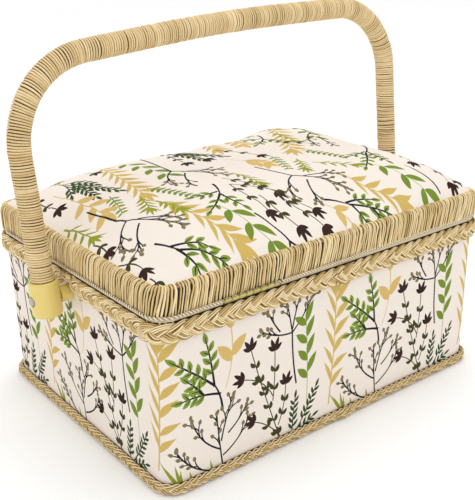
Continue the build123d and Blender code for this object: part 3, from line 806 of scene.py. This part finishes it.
    p.limbs((
        ((100, 114), (94, 98), 0.05, 1.0), ((95, 102), (74, 92), 0.1, 0.2), ((94, 98), (98, 74), -0.08, 0.25),
        ((-52, 114), (-58, 92), 0.06, 0.2), ((-56, 100), (-74, 92), 0.1, 0.3),
    ), (8.4, 3.5))
    p.sprig((148, 62), (138, 36), 0.1, 2, (13.0, 5.6))
    p.sprig((56, 114), (50, 78), 0.08, 2, (14.0, 6.0))
    p.fernlet((4, 112), (-4, 78), 0.04, "green", 7)
    p.fern((-104, 112), (-112, 88), 0.03, 1, 4, 12.0, 2.8, "lime")
    p.fern((126, 74), (134, 104), 0.03, 1, 4, 12.0, 2.8, "lime")
    return p


def cut_cloth(shapes, outline, inner_lines, low, high, pitch, seed):
    """Triangulates the cloth inside outline, with every printed shape cut into it as its own triangles."""
    points, faces, edges = [], [], []

    def push(polygon):
        start = len(points)
        points.extend(Vector((float(x), float(y))) for x, y in polygon)
        return list(range(start, len(points)))

    faces.append(push(outline))
    for polygon, _ in shapes:
        faces.append(push(polygon))
    for line in inner_lines:
        ring = push(line)
        edges.extend(zip(ring, ring[1:] + ring[:1]))
    spots = np.random.default_rng(seed)
    nx, ny = int((high[0] - low[0]) / pitch), int((high[1] - low[1]) / pitch)
    for i in range(1, nx):
        for j in range(1, ny):
            x = low[0] + (high[0] - low[0]) * i / nx + spots.uniform(-0.2, 0.2) * pitch
            y = low[1] + (high[1] - low[1]) * j / ny + spots.uniform(-0.2, 0.2) * pitch
            points.append(Vector((x, y)))
    found = delaunay_2d_cdt(points, edges, faces, 0, 1e-3, True)
    flat = np.array([tuple(v) for v in found[0]])
    triangles, inks = [], []
    for triangle, inside in zip(found[2], found[5]):
        if 0 in inside:
            top = max(inside)
            triangles.append(tuple(triangle))
            inks.append(INK_NAMES.index(shapes[top - 1][1]) if top else 0)
    return flat, triangles, inks


def printed_sheet(name, flat, points, normals, triangles, inks):
    """The cloth as a mesh: flat and points match, and inks colours each triangle."""
    mesh = bpy.data.meshes.new(name)
    mesh.from_pydata((points * MM).tolist(), [], triangles)
    mesh.materials.append(PRINT)
    mesh.polygons.foreach_set("use_smooth", [True] * len(triangles))
    held = mesh.attributes.new("flat", "FLOAT_VECTOR", "POINT")
    held.data.foreach_set("vector", np.column_stack((flat, np.zeros(len(flat)))).ravel())
    table = np.array([(*srgb(*INKS[k]), 1.0) for k in INK_NAMES])
    ink = mesh.attributes.new("ink", "FLOAT_COLOR", "CORNER")
    ink.data.foreach_set("color", np.repeat(table[inks], 3, axis=0).ravel())
    mesh.normals_split_custom_set_from_vertices([tuple(n) for n in normals])
    mesh.update()
    return linked(name, mesh)


def case_cover():
    """The printed cotton round the case, one long strip with seven repeats."""
    low, high = box_mm("body_cover")
    bottom, top = float(low[2]), float(high[2])
    repeats = 7
    width = PERIMETER / repeats
    shapes = []
    for polygon, ink in wall_pattern().shapes:
        for shift in (-width, 0.0, width):
            moved = polygon + (shift, 0.0)
            if moved[:, 0].max() > 0 and moved[:, 0].min() < width and moved[:, 1].max() > bottom:
                shapes.append((moved, ink))
    sides = np.linspace(bottom, top, 24)
    ends = np.linspace(0, width, 28)
    outline = np.vstack((
        np.column_stack((ends[:-1], np.full(27, bottom))), np.column_stack((np.full(23, width), sides[:-1])),
        np.column_stack((ends[::-1][:-1], np.full(27, top))),
        np.column_stack((np.zeros(23), sides[::-1][:-1])),
    ))
    flat, triangles, inks = cut_cloth(shapes, outline, (), (0, bottom), (width, top), 5.5, 5)
    all_flat, all_triangles = [], []
    for k in range(repeats):
        all_triangles.extend(tuple(i + k * len(flat) for i in t) for t in triangles)
        all_flat.append(flat + (k * width, 0.0))
    all_flat = np.vstack(all_flat)
    s = all_flat[:, 0] - HALF_X - 1.0

    def surface(s, z):
        spot, out = around(s, 0.0)
        place = np.column_stack((spot, z))
        level = ripple(place, 38.0, 1.0) * 0.3 + ripple(place, 15.0, 2.0) * 0.08
        return np.column_stack((spot + out * (level - 0.1)[:, None], z))

    points = surface(s, all_flat[:, 1])
    normals = slope_normals(surface, s, all_flat[:, 1], 0.8)
    made = printed_sheet("case_cover", all_flat, points, normals, all_triangles, inks * repeats)
    hold(made, "box", "print_cotton", "body_cover")
    return made


# ---- the lid's padded cover

LID_LOW, LID_HIGH = box_mm("lid_cover")
DOME_X, DOME_Y = LID_HIGH[0], LID_HIGH[1]
DOME_BASE, DOME_RISE = LID_LOW[2], LID_HIGH[2] - LID_LOW[2] + 1.3
COVER_CORNER, COVER_STEP = 8.0, 5.0
CLOTH_FRAMES = 20


def dome_height(x, y):
    """Height of the padded top, which is fuller towards its back right corner."""
    full = np.clip((x - 50) / 80, 0, 1)
    full = full**2 * (3 - 2 * full) * (0.6 + 0.4 * np.clip(y / 60, 0, 1))
    power = 3 + 3 * full
    side = np.clip(1 - np.abs(x / DOME_X) ** power, 0, 1) * np.clip(1 - np.abs(y / DOME_Y) ** power, 0, 1)
    return DOME_BASE + DOME_RISE * side ** (0.6 - 0.1 * full)


def settle(points, faces, pinned, pressure, grow, most):
    """The points after a cloth simulation with pressure behind the faces, moved by at most most mm."""
    mesh = bpy.data.meshes.new("settling")
    mesh.from_pydata((points * MM).tolist(), [], faces)
    made = linked("settling", mesh)
    made.vertex_groups.new(name="pinned").add([int(i) for i in pinned], 1.0, "REPLACE")
    cloth = made.modifiers.new("cloth", "CLOTH")
    cloth.settings.quality = 5
    cloth.settings.use_pressure = True
    cloth.settings.uniform_pressure_force = pressure
    cloth.settings.shrink_min = -grow
    cloth.settings.bending_stiffness = 0.2
    cloth.settings.effector_weights.gravity = 0.0
    cloth.settings.vertex_group_mass = "pinned"
    cloth.collision_settings.use_collision = False
    cloth.point_cache.frame_start, cloth.point_cache.frame_end = 1, CLOTH_FRAMES
    for number in range(1, CLOTH_FRAMES + 1):
        bpy.context.scene.frame_set(number)
    done = made.evaluated_get(bpy.context.evaluated_depsgraph_get()).data
    settled = np.empty(len(points) * 3)
    done.vertices.foreach_get("co", settled)
    bpy.context.scene.frame_set(1)
    bpy.data.objects.remove(made)
    bpy.data.meshes.remove(mesh)
    move = settled.reshape(-1, 3) / MM - points
    size = np.linalg.norm(move, axis=1)
    return points + move * np.minimum(1, most / np.maximum(size, 1e-6))[:, None]


def rounded_rectangle(half_x, half_y, corner, step):
    """The outline's points, from the front edge round to the right."""
    points = []
    for cx, cy, start in ((1, -1, -90), (1, 1, 0), (-1, 1, 90), (-1, -1, 180)):
        centre = np.array((cx * (half_x - corner), cy * (half_y - corner)))
        for k in range(7):
            a = math.radians(start + 15 * k)
            points.append(centre + corner * heading(a))
    outline = []
    for a, b in zip(points, points[1:] + points[:1]):
        count = max(1, int(np.linalg.norm(b - a) / step))
        outline.extend(a + (b - a) * k / count for k in range(count))
    return np.array(outline)


def lid_cover():
    outline = rounded_rectangle(DOME_X, DOME_Y, COVER_CORNER, COVER_STEP)
    rings = [
        rounded_rectangle(DOME_X - d, DOME_Y - d, COVER_CORNER - d * 0.5, COVER_STEP)
        for d in (0.4, 1.4, 3.2, 6.0, 10.0)
    ]
    low, high = (-DOME_X, -DOME_Y), (DOME_X, DOME_Y)
    flat, triangles, inks = cut_cloth(lid_pattern().shapes, outline, rings, low, high, 7.0, 9)

    columns, rows = 67, 53
    span_x, span_y = np.linspace(-DOME_X, DOME_X, columns), np.linspace(-DOME_Y, DOME_Y, rows)
    grid_x, grid_y = np.meshgrid(span_x, span_y)
    grid_z = dome_height(grid_x, grid_y)
    i, j = np.arange(rows - 1)[:, None] * columns, np.arange(columns - 1)[None]
    faces = np.stack((i + j, i + j + 1, i + j + 1 + columns, i + j + columns), -1).reshape(-1, 4)
    rim = (np.abs(grid_x) > DOME_X - 0.1) | (np.abs(grid_y) > DOME_Y - 0.1)
    start = np.stack((grid_x, grid_y, grid_z), -1).reshape(-1, 3)
    settled = settle(start, faces.tolist(), np.flatnonzero(rim.ravel()), 1.5, 0.012, 3.0)
    grid_z = settled[:, 2].reshape(rows, columns)

    def surface(x, y):
        u = np.clip((x / DOME_X + 1) / 2 * (columns - 1), 0, columns - 1.001)
        v = np.clip((y / DOME_Y + 1) / 2 * (rows - 1), 0, rows - 1.001)
        i, j = v.astype(int), u.astype(int)
        u, v = u - j, v - i
        near = grid_z[i, j] * (1 - u) + grid_z[i, j + 1] * u
        far = grid_z[i + 1, j] * (1 - u) + grid_z[i + 1, j + 1] * u
        z = near * (1 - v) + far * v
        place = np.column_stack((x, y, np.zeros(len(x))))
        edge = np.minimum(DOME_X - np.abs(x), DOME_Y - np.abs(y))
        pull = np.exp(-np.clip(edge, 0, None) / 14.0) * np.clip(edge / 4.0, 0, 1)
        z = z + ripple(place, 55.0, 3.0) * 0.8 + ripple(place, 16.0, 4.0) * 0.55 * pull
        return np.column_stack((x, y, z))

    x, y = flat[:, 0], flat[:, 1]
    points = surface(x, y)
    normals = slope_normals(surface, x, y, 2.4)
    edge = np.minimum(DOME_X - np.abs(x), DOME_Y - np.abs(y)) < 0.05
    points[edge, 2] = DOME_BASE - 0.3
    made = printed_sheet("lid_cover_print", flat, points, normals, triangles, inks)
    hold(made, "lid", "print_cotton", "lid_cover", "lid_pad")
    return made


# ---- straw round the lid's rim

HINGE_X, HINGE_REACH = 95.0, 18.5


def rim_straws():
    """Short twisted straws stand side by side round the lid and roll over its top edge."""
    low, high = box_mm("lid_wrap")
    low, high = low[2], high[2]
    solid = Solid()
    chance = np.random.default_rng(11)
    pitch = 2.06
    count = int((PERIMETER + 2 * math.pi * 1.5) / pitch)
    profile = np.array((
        (0.75, low + 0.3), (1.0, low + 1.6), (1.15, low + 6.0), (1.2, low + 11.5), (1.1, low + 15.0),
        (0.7, low + 17.4), (-0.35, high - 0.35), (-1.9, high + 0.45), (-3.6, high + 0.5), (-5.2, high - 0.5),
    ))
    lean = 0.0
    for k in range(count):
        lean = 0.7 * lean + chance.normal(0, 0.34)
        s = PERIMETER * (k + 0.5 + chance.uniform(-0.2, 0.2)) / count
        shape = profile.copy()
        spot, _ = around(s, 0.0)
        on_hinge = spot[1] > HALF_Y - 2 and abs(abs(spot[0]) - HINGE_X) < HINGE_REACH
        if on_hinge:
            shape[:, 1] = np.maximum(shape[:, 1], low + 4.6 + 0.35 * np.arange(len(shape)))
            shape = shape[2:] if shape[2, 1] > shape[1, 1] else shape
        shape[:, 0] += chance.normal(0, 0.2) + chance.normal(0, 0.09, len(shape))
        if spot[1] > HALF_Y - 6:
            shape[:, 0] -= 0.85 * np.clip((high - shape[:, 1]) / 4, 0, 1)
        rise = (shape[:, 1] - low) / (high - low)
        along = s + (lean + 1.9) * (rise - 0.5) * 2.0 + chance.normal(0, 0.13, len(shape))
        place, out = around(along, shape[:, 0])
        path = np.column_stack((place, shape[:, 1]))
        up = np.gradient(shape, axis=0)
        face = np.column_stack((out * up[:, 1:2], -up[:, 0]))
        wide = 0.84 * (1 + chance.normal(0, 0.16)) * (1 + chance.normal(0, 0.08, len(shape)))
        thick = 0.8 * (1 + chance.normal(0, 0.1))
        solid.tube(path, face, wide, thick, 8, 0, 0.5 + chance.normal(0, 0.06), k)
    # painted shade: a dark band under the straws, seen only through the gaps between them
    s = np.linspace(0, PERIMETER, 241)[:-1]
    rows = []
    levels = ((0.15, low + 0.6), (0.35, low + 3.0), (0.35, high - 3.0))
    levels += ((-0.6, high - 1.3), (-5.0, high - 1.0))
    for offset, z in levels:
        place, _ = around(s, offset)
        if z < low + 5:
            near_hinge = np.abs(np.abs(place[:, 0]) - HINGE_X) < HINGE_REACH
            back = (place[:, 1] > HALF_Y - 2) & near_hinge
            z = np.where(back, low + 5.2, z)
        rows.append(np.column_stack((place, np.broadcast_to(z, len(s)))))
    solid.grid(np.array(rows), 1, True)
    made = solid.make("rim_straws", [RAFFIA, GAP_SHADE_AND_TIES])
    return hold(made, "lid", "raffia", "lid_wrap")


# ---- plaited straw bands

def plait(
    name, node, straws, strand_half, period, thick, start, overlap, step, narrow=None, seed=1, tone=0.5
):
    """A flat three-strand plait round the case. Each strand is several straws side by side."""
    low, high = box_mm(node)
    low, high = low[2] - 0.1, high[2]
    solid = Solid()
    chance = np.random.default_rng(seed)
    s = np.arange(start - overlap, start + PERIMETER + overlap, step)
    first = np.clip((start + overlap - s) / overlap, 0, 1)
    last = np.clip((s - start - PERIMETER + overlap) / overlap, 0, 1)
    lap = 1.35 * first - 0.25 * last
    waver = ripple_along(s, period * 1.3, seed)
    phase = 2 * math.pi * (s + 2.0 * waver) / period
    bottom = np.full(len(s), low) + 0.35 * ripple_along(s, 25.0, seed, 9)
    if narrow is not None:
        spot, _ = around(s, 0.0)
        near = np.exp(-((spot[:, 1] / 11.0) ** 4)) * (np.abs(spot[:, 0]) > HALF_X - 1)
        bottom = bottom + near * (narrow - low)
    middle, half = (high + bottom) / 2, (high - bottom) / 2
    half = half * (1 - 0.35 * np.clip((s - start - PERIMETER) / overlap, 0, 1))
    reach = half - strand_half
    for strand in range(3):
        turn = phase + strand * 2 * math.pi / 3
        rise = reach * np.sin(turn)
        over = np.sin(2 * turn)
        slope = np.gradient(rise, s)
        length = np.sqrt(1 + slope**2)
        for straw in range(straws):
            place = (straw - (straws - 1) / 2) / max(1, (straws - 1) / 2)
            row = strand * 5 + straw * 2
            drift = ripple_along(s, 8.0, seed + 3, row) * 0.45
            loose = ripple_along(s, 6.0, seed + 8, row) * 0.35
            across = strand_half * (place * 0.82 + drift / strand_half) * (0.72 + 0.28 * np.cos(turn) ** 2)
            along = s - across * slope / length
            z = middle + rise + across / length
            bulge = 0.22 * thick * (1 - place**2)
            offset = thick * (0.5 + 0.3 * over) + bulge + lap + loose + chance.normal(0, 0.05)
            spot, out = around(along, offset)
            path = np.column_stack((spot, np.minimum(z, high + 0.25)))
            face = np.column_stack((out, np.zeros(len(s))))
            wide = strand_half / straws * 0.9 * (1 + chance.normal(0, 0.14))
            solid.tube(path, face, wide, wide * 0.9, 8, 0, tone + chance.normal(0, 0.15), strand * 10 + straw)
    # painted shade: a dark band behind the plait, seen only through the gaps between its straws
    shade_sheet_along = np.linspace(0, PERIMETER, 241)[:-1]
    rows = [np.column_stack((around(shade_sheet_along, 0.25)[0], np.full(240, z))) for z in (low + 1.8, high - 1.2)]
    if narrow is not None:
        near = (np.abs(rows[0][:, 1]) < 12) & (np.abs(rows[0][:, 0]) > HALF_X - 1)
        rows[0][near, 2] = narrow + 1.5
    solid.grid(np.array(rows), 1, True)
    made = solid.make(name, [PLAIT, GAP_SHADE_AND_TIES])
    return hold(made, "box", "raffia_braid", node)


# ---- twisted piping along the lid's lower edge, and the cane tied over it

def lid_piping():
    low, high = box_mm("lid_piping")
    z = (low[2] + high[2]) / 2
    radius = (high[2] - low[2]) / 4
    chance = np.random.default_rng(21)
    solid = Solid()
    limit = RUN_X + ARC + RUN_Y + high[1]
    s = np.arange(-limit, limit, 0.55)
    sag = ripple_along(s, 30.0, 5.0) * 0.25
    for ply in range(2):
        turn = 2 * math.pi * s / 5.2 + ply * math.pi
        tuck = 1.7 * np.clip((s - 5) / 25, 0, 1)
        offset = 1.5 + 2 * radius - tuck + radius * np.sin(turn)
        spot, out = around(s, offset)
        path = np.column_stack((spot, z + radius * np.cos(turn) + sag))
        face = np.column_stack((out * np.sin(turn)[:, None], np.cos(turn)))
        solid.tube(path, face, radius * 1.06, radius * 1.06, 8, 0, 0.52 + chance.normal(0, 0.03), ply)
    cane = np.arange(-107.0, -60.0, 1.0)
    spot, out = around(cane, 1.5 + 4 * radius + 0.15)
    path = np.column_stack((spot, np.full(len(cane), z + 0.1)))
    solid.tube(path, np.column_stack((out, np.zeros(len(cane)))), 1.25, 0.42, 8, 1, 0.55, 7.0)
    for x in np.arange(-106.0, -58.0, 5.9):
        ring = np.arange(0, 2 * math.pi, 0.5)
        place, out = around(x + 0.4 * np.sin(ring), 1.5 + 2 * radius + (2 * radius + 0.75) * np.cos(ring))
        path = np.column_stack((place, z + 1.55 * np.sin(ring)))
        solid.tube(path, np.column_stack((out, np.zeros(len(ring)))), 0.3, 0.3, 6, 2, 0.1, x)
    made = solid.make("lid_twist", [PIPING, CANE, GAP_SHADE_AND_TIES])
    return hold(made, "lid", "piping", "lid_piping")


# ---- handle

PIVOT_Z = sum(box_mm("pivot_screw_left")[i][2] for i in (0, 1)) / 2
LEAN = math.radians(6.5)
LEG_X, LEG_SPLAY, BAR_HEIGHT, BAR_TILT, BAR_CROWN = 173.0, 1.5, 164.0, 7.2, 3.3


def rounded_line(points, radii, step):
    """A polyline with its inner corners rounded, sampled about every step mm."""
    points = [np.array(p, float) for p in points]
    line = [points[0]]
    for before, corner, after, radius in zip(points, points[1:], points[2:], radii):
        a, b = before - corner, after - corner
        a, b = a / np.linalg.norm(a), b / np.linalg.norm(b)
        half = math.acos(float(np.clip(a @ b, -1, 1))) / 2
        centre = corner + (a + b) / np.linalg.norm(a + b) * radius / math.sin(half)
        start, end = corner + a * radius / math.tan(half), corner + b * radius / math.tan(half)
        u, v = start - centre, end - centre
        sweep = math.acos(float(np.clip(u @ v / radius**2, -1, 1)))
        count = max(3, int(sweep * radius / step))
        for t in np.linspace(0, 1, count):
            line.append(centre + (math.sin((1 - t) * sweep) * u + math.sin(t * sweep) * v) / math.sin(sweep))
    line.append(points[-1])
    line = np.array(line)
    run = distances(line)
    places = np.linspace(0, run[-1], int(run[-1] / step))
    return np.column_stack([np.interp(places, run, line[:, k]) for k in range(2)])


def handle_cord():
    """Straw cord wound round the handle's core from one ferrule to the other."""
    start = 6.0
    foot = LEG_X + LEG_SPLAY * start / BAR_HEIGHT
    top = LEG_X + LEG_SPLAY
    line = rounded_line(
        (
            (-foot, start), (-top, BAR_HEIGHT - BAR_TILT), (0, BAR_HEIGHT + 2 * BAR_CROWN),
            (top, BAR_HEIGHT + BAR_TILT), (foot, start),
        ),
        (62.0, 1500.0, 53.0), 1.0,
    )
    core = np.column_stack((line[:, 0], line[:, 1] * math.sin(LEAN), PIVOT_Z + line[:, 1] * math.cos(LEAN)))
    back = np.array((0, -math.cos(LEAN), math.sin(LEAN)))
    pitch, ring, cord = 1.84, 7.32, 0.93
    length = len(line) - 1.0
    turns = length / pitch
    chance = np.random.default_rng(31)
    angle = np.arange(0, turns * 2 * math.pi, 2 * math.pi / 22)
    each_turn = chance.normal(0, 1, int(turns) + 3)
    run = angle / (2 * math.pi)
    smooth = np.interp(run, np.arange(len(each_turn)), each_turn)
    slant = ripple_along(run, 5.0, 15.0) * 1.1
    place = np.clip(run * pitch + smooth * 0.22 + slant * np.sin(angle), 0, length)
    centre = part_way(core, place)
    forward = np.gradient(core, axis=0)
    forward /= np.linalg.norm(forward, axis=1)[:, None]
    tangent = part_way(forward, place)
    side = np.cross(tangent, back)
    side /= np.linalg.norm(side, axis=1)[:, None]
    out = side * np.cos(angle)[:, None] + np.cross(side, tangent) * np.sin(angle)[:, None]
    bumps = ripple_along(angle * 1.3, 2.0, 6.0) * 0.1
    level = ring + 0.1 * np.interp(run + 0.5, np.arange(len(each_turn)), each_turn[::-1]) + bumps
    path = centre + out * level[:, None]
    solid = Solid()
    wide = cord * (1 + 0.1 * np.interp(run, np.arange(len(each_turn)), np.roll(each_turn, 3)))
    solid.tube(path, out, wide, cord * 0.9, 7, 0, 0.47, 0.0)
    tone = 0.5 + 0.045 * np.interp(run, np.arange(len(each_turn)), np.roll(each_turn, 5))
    solid.shade[0] = np.repeat(tone, 7)
    # painted shade: a dark tube inside the cord, seen only in the gaps between its turns
    solid.tube(core, back, 6.6, 6.6, 16, 1)
    made = solid.make("handle_cord", [CORD, GAP_SHADE_AND_TIES])
    return hold(made, "handle", "raffia", "handle_wrap")


# ---- linings

def lining_rings(profile, seed, waves, floor_z, floor_wave):
    """Rows of points down a profile of (offset, z) round the case, then in across a floor or ceiling."""
    s = np.linspace(0, PERIMETER, 421)[:-1]
    rows = []
    for offset, z, loose in profile:
        spot, out = around(s, offset)
        place = np.column_stack((spot, np.full(len(s), z)))
        fold = np.abs(ripple(np.column_stack((place[:, :2], place[:, 2] * 0.25)), waves, seed))
        rows.append(np.column_stack((spot - out * (fold * loose)[:, None], np.full(len(s), z))))
    edge = rows[-1]
    for share in (0.985, 0.95, 0.9, 0.84, 0.77, 0.69, 0.6, 0.5, 0.4, 0.3, 0.2, 0.1, 0.02):
        place = edge.copy()
        place[:, :2] *= share
        place[:, 2] = floor_z
        level = np.column_stack((place[:, :2], place[:, 0] * 0))
        place[:, 2] += floor_wave * (np.abs(ripple(level, 30.0, seed + 1)))
        rows.append(place)
    return np.array(rows)


def case_lining():
    """Satin over the case's walls and floor, turned over the top edge and tucked under the plait."""
    base = box_mm("base_panel")[1][2]
    top = box_mm("front_panel")[1][2]
    inside = -6.0
    profile = [(0.12, 117.0, 0), (0.14, 124.0, 0), (0.12, top - 0.3, 0), (-0.25, top + 0.14, 0)]
    profile += [(-0.9, top + 0.2, 0), (-4.6, top + 0.2, 0), (-5.5, top + 0.12, 0)]
    profile += [(inside + 0.05, top - 0.5, 0.1)]
    profile += [(inside, z, 0.8) for z in np.linspace(top - 4, base + 3.2, 22)]
    profile += [(inside - 0.3, base + 1.2, 0.4), (inside - 1.2, base + 0.55, 0.2)]
    rows = lining_rings(profile, 12.0, 17.0, base + 0.5, 0.35)
    solid = Solid()
    solid.grid(rows, 0, True, True)
    solid.cap(420, 0, True)
    made = solid.make("case_lining", [SATIN])
    hold(made, "box", "lining_satin", "body_lining")
    return made


def lid_lining():
    """Satin inside the lid, turned under the frame's lower edge."""
    frame_low = box_mm("lid_frame")[0][2]
    ceiling = box_mm("lid_lining")[1][2] - 0.6
    inside = -6.0
    profile = [(-0.2, frame_low - 0.02, 0), (-0.9, frame_low - 0.16, 0), (-4.6, frame_low - 0.16, 0)]
    profile += [(-5.6, frame_low - 0.08, 0), (inside + 0.02, frame_low + 0.5, 0.1)]
    profile += [(inside, z, 0.5) for z in np.linspace(frame_low + 2, ceiling - 2.4, 8)]
    profile += [(inside - 0.4, ceiling - 0.9, 0.3), (inside - 1.4, ceiling - 0.2, 0.1)]
    rows = lining_rings(profile, 23.0, 20.0, ceiling, -0.9)
    solid = Solid()
    solid.grid(rows, 0, True, False)
    solid.cap(420)
    made = solid.make("lid_lining_satin", [SATIN])
    hold(made, "lid", "lining_satin", "lid_lining")
    return made


def pincushion():
    """The stuffed pad in the lid, swollen by a cloth simulation, with a corded seam and two sewn lines."""
    low, high = box_mm("pincushion")
    centre, half = (low + high) / 2, (high - low) / 2
    rows, columns = 37, 53
    u, v = np.meshgrid(np.linspace(-1, 1, columns), np.linspace(-1, 1, rows))
    x = centre[0] + (half[0] - 1.2) * u * (1 - 0.04 * (1 - v**2) * np.abs(u) ** 4) * np.sqrt(1 - 0.1 * v**6)
    y = centre[1] + (half[1] - 1.2) * v * (1 - 0.06 * (1 - u**2) * np.abs(v) ** 4) * np.sqrt(1 - 0.1 * u**6)
    seam = high[2] - 2.4
    swell = np.clip((1 - u**4) * (1 - v**4), 0, 1) ** 0.5
    sewn = np.isin(np.arange(columns), (17, 35))[None] & (np.abs(v) < 0.97)
    depth = (seam - low[2]) * 0.72 * swell
    under = np.stack((x, y, seam - np.where(sewn, 0.55 * depth, depth)), -1).reshape(-1, 3)
    over = np.stack((x, y, seam + 2.1 * swell), -1)[1:-1, 1:-1].reshape(-1, 3)
    index = np.arange(rows * columns).reshape(rows, columns)
    upper = index.copy()
    upper[1:-1, 1:-1] = rows * columns + np.arange(len(over)).reshape(rows - 2, columns - 2)
    faces = []
    for side, order in ((index, 1), (upper, -1)):
        quads = np.stack((side[:-1, :-1], side[1:, :-1], side[1:, 1:], side[:-1, 1:]), -1).reshape(-1, 4)
        faces.extend(quads[:, ::order].tolist())
    points = np.vstack((under, over))
    border = np.ones((rows, columns), bool)
    border[1:-1, 1:-1] = False
    held = np.concatenate((np.flatnonzero((border | sewn).ravel()), np.arange(rows * columns, len(points))))
    points = settle(points, faces, held, 4.0, 0.05, 5.0)
    points[:, 2] = np.maximum(points[:, 2], low[2])
    solid = Solid()
    solid.add(points, faces)
    ring = points[:rows * columns].reshape(rows, columns, 3)
    rim = np.vstack((ring[0], ring[1:, -1], ring[-1, ::-1][1:], ring[1:-1, 0][::-1], ring[0, :1]))
    out = rim - rim.mean(0)
    out[:, 2] = 0
    solid.tube(rim, out, 1.0, 1.0, 8, 1, 0.5, 3.0, round_ends=False)
    made = solid.make("pincushion_pad", [CUSHION, SATIN])
    hold(made, "lid", "pincushion", "pincushion")
    return made


def lid_pocket():
    """A satin pocket inside the lid, gathered into an elastic at its mouth."""
    low, high = box_mm("lid_pocket")
    band_low, band_high = box_mm("pocket_elastic")
    columns, rows = 161, 40
    u = np.linspace(-1, 1, columns)
    t = np.linspace(0, 1, rows)
    uu, tt = np.meshgrid(u, t)
    x = (low[0] + high[0]) / 2 + (high[0] - low[0]) / 2 * uu
    y = low[1] + (high[1] - low[1]) * tt
    gather = np.exp(-tt * 4.2)
    fine = np.sin(uu * 56 + 1.7 * np.sin(uu * 9)) * 1.05 * gather
    place = np.column_stack((x.ravel() * 1.6, y.ravel() * 0.45, np.zeros(x.size)))
    soft = ripple(place, 16.0, 7.0).reshape(x.shape)
    edge = np.clip((1 - np.abs(uu)) * 9, 0, 1) * np.clip((1 - tt) * 12, 0, 1)
    z = high[2] - 0.25 - edge * (2.5 + fine + soft * 1.3 * (0.4 + 0.6 * (1 - tt)))
    solid = Solid()
    solid.grid(np.stack((x, y, z), -1), 0, False, True)
    made = solid.make("lid_pocket_satin", [SATIN])
    hold(made, "lid", "lining_satin", "lid_pocket")
    across = np.linspace(-1, 1, 321)
    x = (band_low[0] + band_high[0]) / 2 + (band_high[0] - band_low[0]) / 2 * across
    level = np.interp(across, u, z[1]) - 0.55
    rib = 0.3 * np.sin(across * 150)
    band = Solid()
    corners = ((0.0, 0.0), (1.0, 0.0), (1.0, -0.8), (0.0, -0.8))
    ring = np.array([[(xi, band_low[1] + d * (band_high[1] - band_low[1]), zi + h + (r if h else 0))
                      for d, h in corners] for xi, zi, r in zip(x, level, rib)])
    band.grid(ring, 0, True, False)
    band.faces.append((3, 2, 1, 0))
    last = band.count
    band.faces.append((last - 4, last - 3, last - 2, last - 1))
    band.kinds.extend((0, 0))
    elastic = band.make("pocket_band", [ELASTIC])
    hold(elastic, "lid", "elastic", "pocket_elastic")
    return made


def base_sheet():
    """Plain cloth glued under the case."""
    low = box_mm("base_cloth")[0]
    rows = []
    s = np.linspace(0, PERIMETER, 241)[:-1]
    for offset, z in ((0.1, 3.2), (0.12, 1.0), (-0.3, 0.35), (-1.4, 0.12), (-5.0, 0.12)):
        rows.append(np.column_stack((around(s, offset)[0], np.full(240, low[2] + z))))
    edge = rows[-1]
    for share in (0.9, 0.75, 0.55, 0.35, 0.15, 0.02):
        rows.append(edge * (share, share, 1))
    solid = Solid()
    solid.grid(np.array(rows), 0, True, True)
    solid.cap(240, 0, True)
    made = solid.make("base_sheet", [BASE_CLOTH])
    hold(made, "box", "base_cloth", "base_cloth")
    return made


case_cover()
lid_cover()
rim_straws()
plait("rim_plait", "rim_braid", 6, 4.2, 27.0, 3.7, 4.0, 11.0, 1.6, narrow=119.6, seed=2)
# painted light: the base plait's straws get a lighter tone than the rim plait's, offsetting the shade that
# falls near the floor
plait("base_plait", "base_braid", 4, 2.55, 18.0, 4.2, 8.0, 9.0, 1.3, seed=4, tone=0.68)
lid_piping()
handle_cord()
case_lining()
lid_lining()
pincushion()
lid_pocket()
base_sheet()

# ---- finishes of the parts kept from the CAD

parts = {p["node"]: p["material_slot"] for p in frame["record"]["subparts"]}
for node, made in frame["nodes"].items():
    finish = SLOTS.get(parts.get(node))
    if finish is not None:
        made.data.materials.clear()
        made.data.materials.append(finish)

# ---- floor, light and camera

bpy.ops.mesh.primitive_plane_add(size=6, location=(0, 0, CAD_BOUNDS[0].z - 0.0002))
floor = bpy.context.object
floor.name = "floor"
ground = Shader("floor", 0.9)
ground.shader.inputs["Base Color"].default_value = (0.99, 0.99, 0.99, 1)
floor.data.materials.append(ground.material)

world = bpy.data.worlds.new("studio")
bpy.context.scene.world = world
world.use_nodes = True
world.node_tree.nodes["Background"].inputs["Color"].default_value = (1, 1, 1, 1)
world.node_tree.nodes["Background"].inputs["Strength"].default_value = 1.0


def lamp(name, spot, target, size, power):
    light = bpy.data.lights.new(name, "AREA")
    light.size, light.energy = size, power
    made = linked(name, light)
    made.location = spot
    made.rotation_euler = (Vector(target) - Vector(spot)).to_track_quat("-Z", "Y").to_euler()


lamp("key", (-0.35, -1.1, 1.15), (0, 0, 0.1), 0.7, 1.0)
lamp("side", (-1.3, -0.2, 0.8), (0, 0, 0.1), 0.9, 0.5)
lamp("top", (0.3, 0.2, 1.5), (0, 0, 0.1), 1.0, 4.0)

azimuth, elevation, roll, distance = math.radians(-37.76), math.radians(23.78), math.radians(-1.08), 0.7098
level = math.cos(elevation)
back = Vector((math.sin(azimuth) * level, -math.cos(azimuth) * level, math.sin(elevation)))
right = Vector((math.cos(azimuth), math.sin(azimuth), 0))
upward = back.cross(right)
turned_right = math.cos(roll) * right + math.sin(roll) * upward
turned_up = -math.sin(roll) * right + math.cos(roll) * upward
camera = linked("camera", bpy.data.cameras.new("camera"))
camera.matrix_world = Matrix.Translation(Vector((0, 0, 0.07)) + back * distance) @ Matrix(
    (turned_right, turned_up, back)
).transposed().to_4x4()
camera.data.lens = 61.5
camera.data.shift_x, camera.data.shift_y = -0.0082, 0.077
camera.data.clip_start = 0.02
bpy.context.scene.camera = camera
bpy.context.scene.view_settings.view_transform = "Standard"
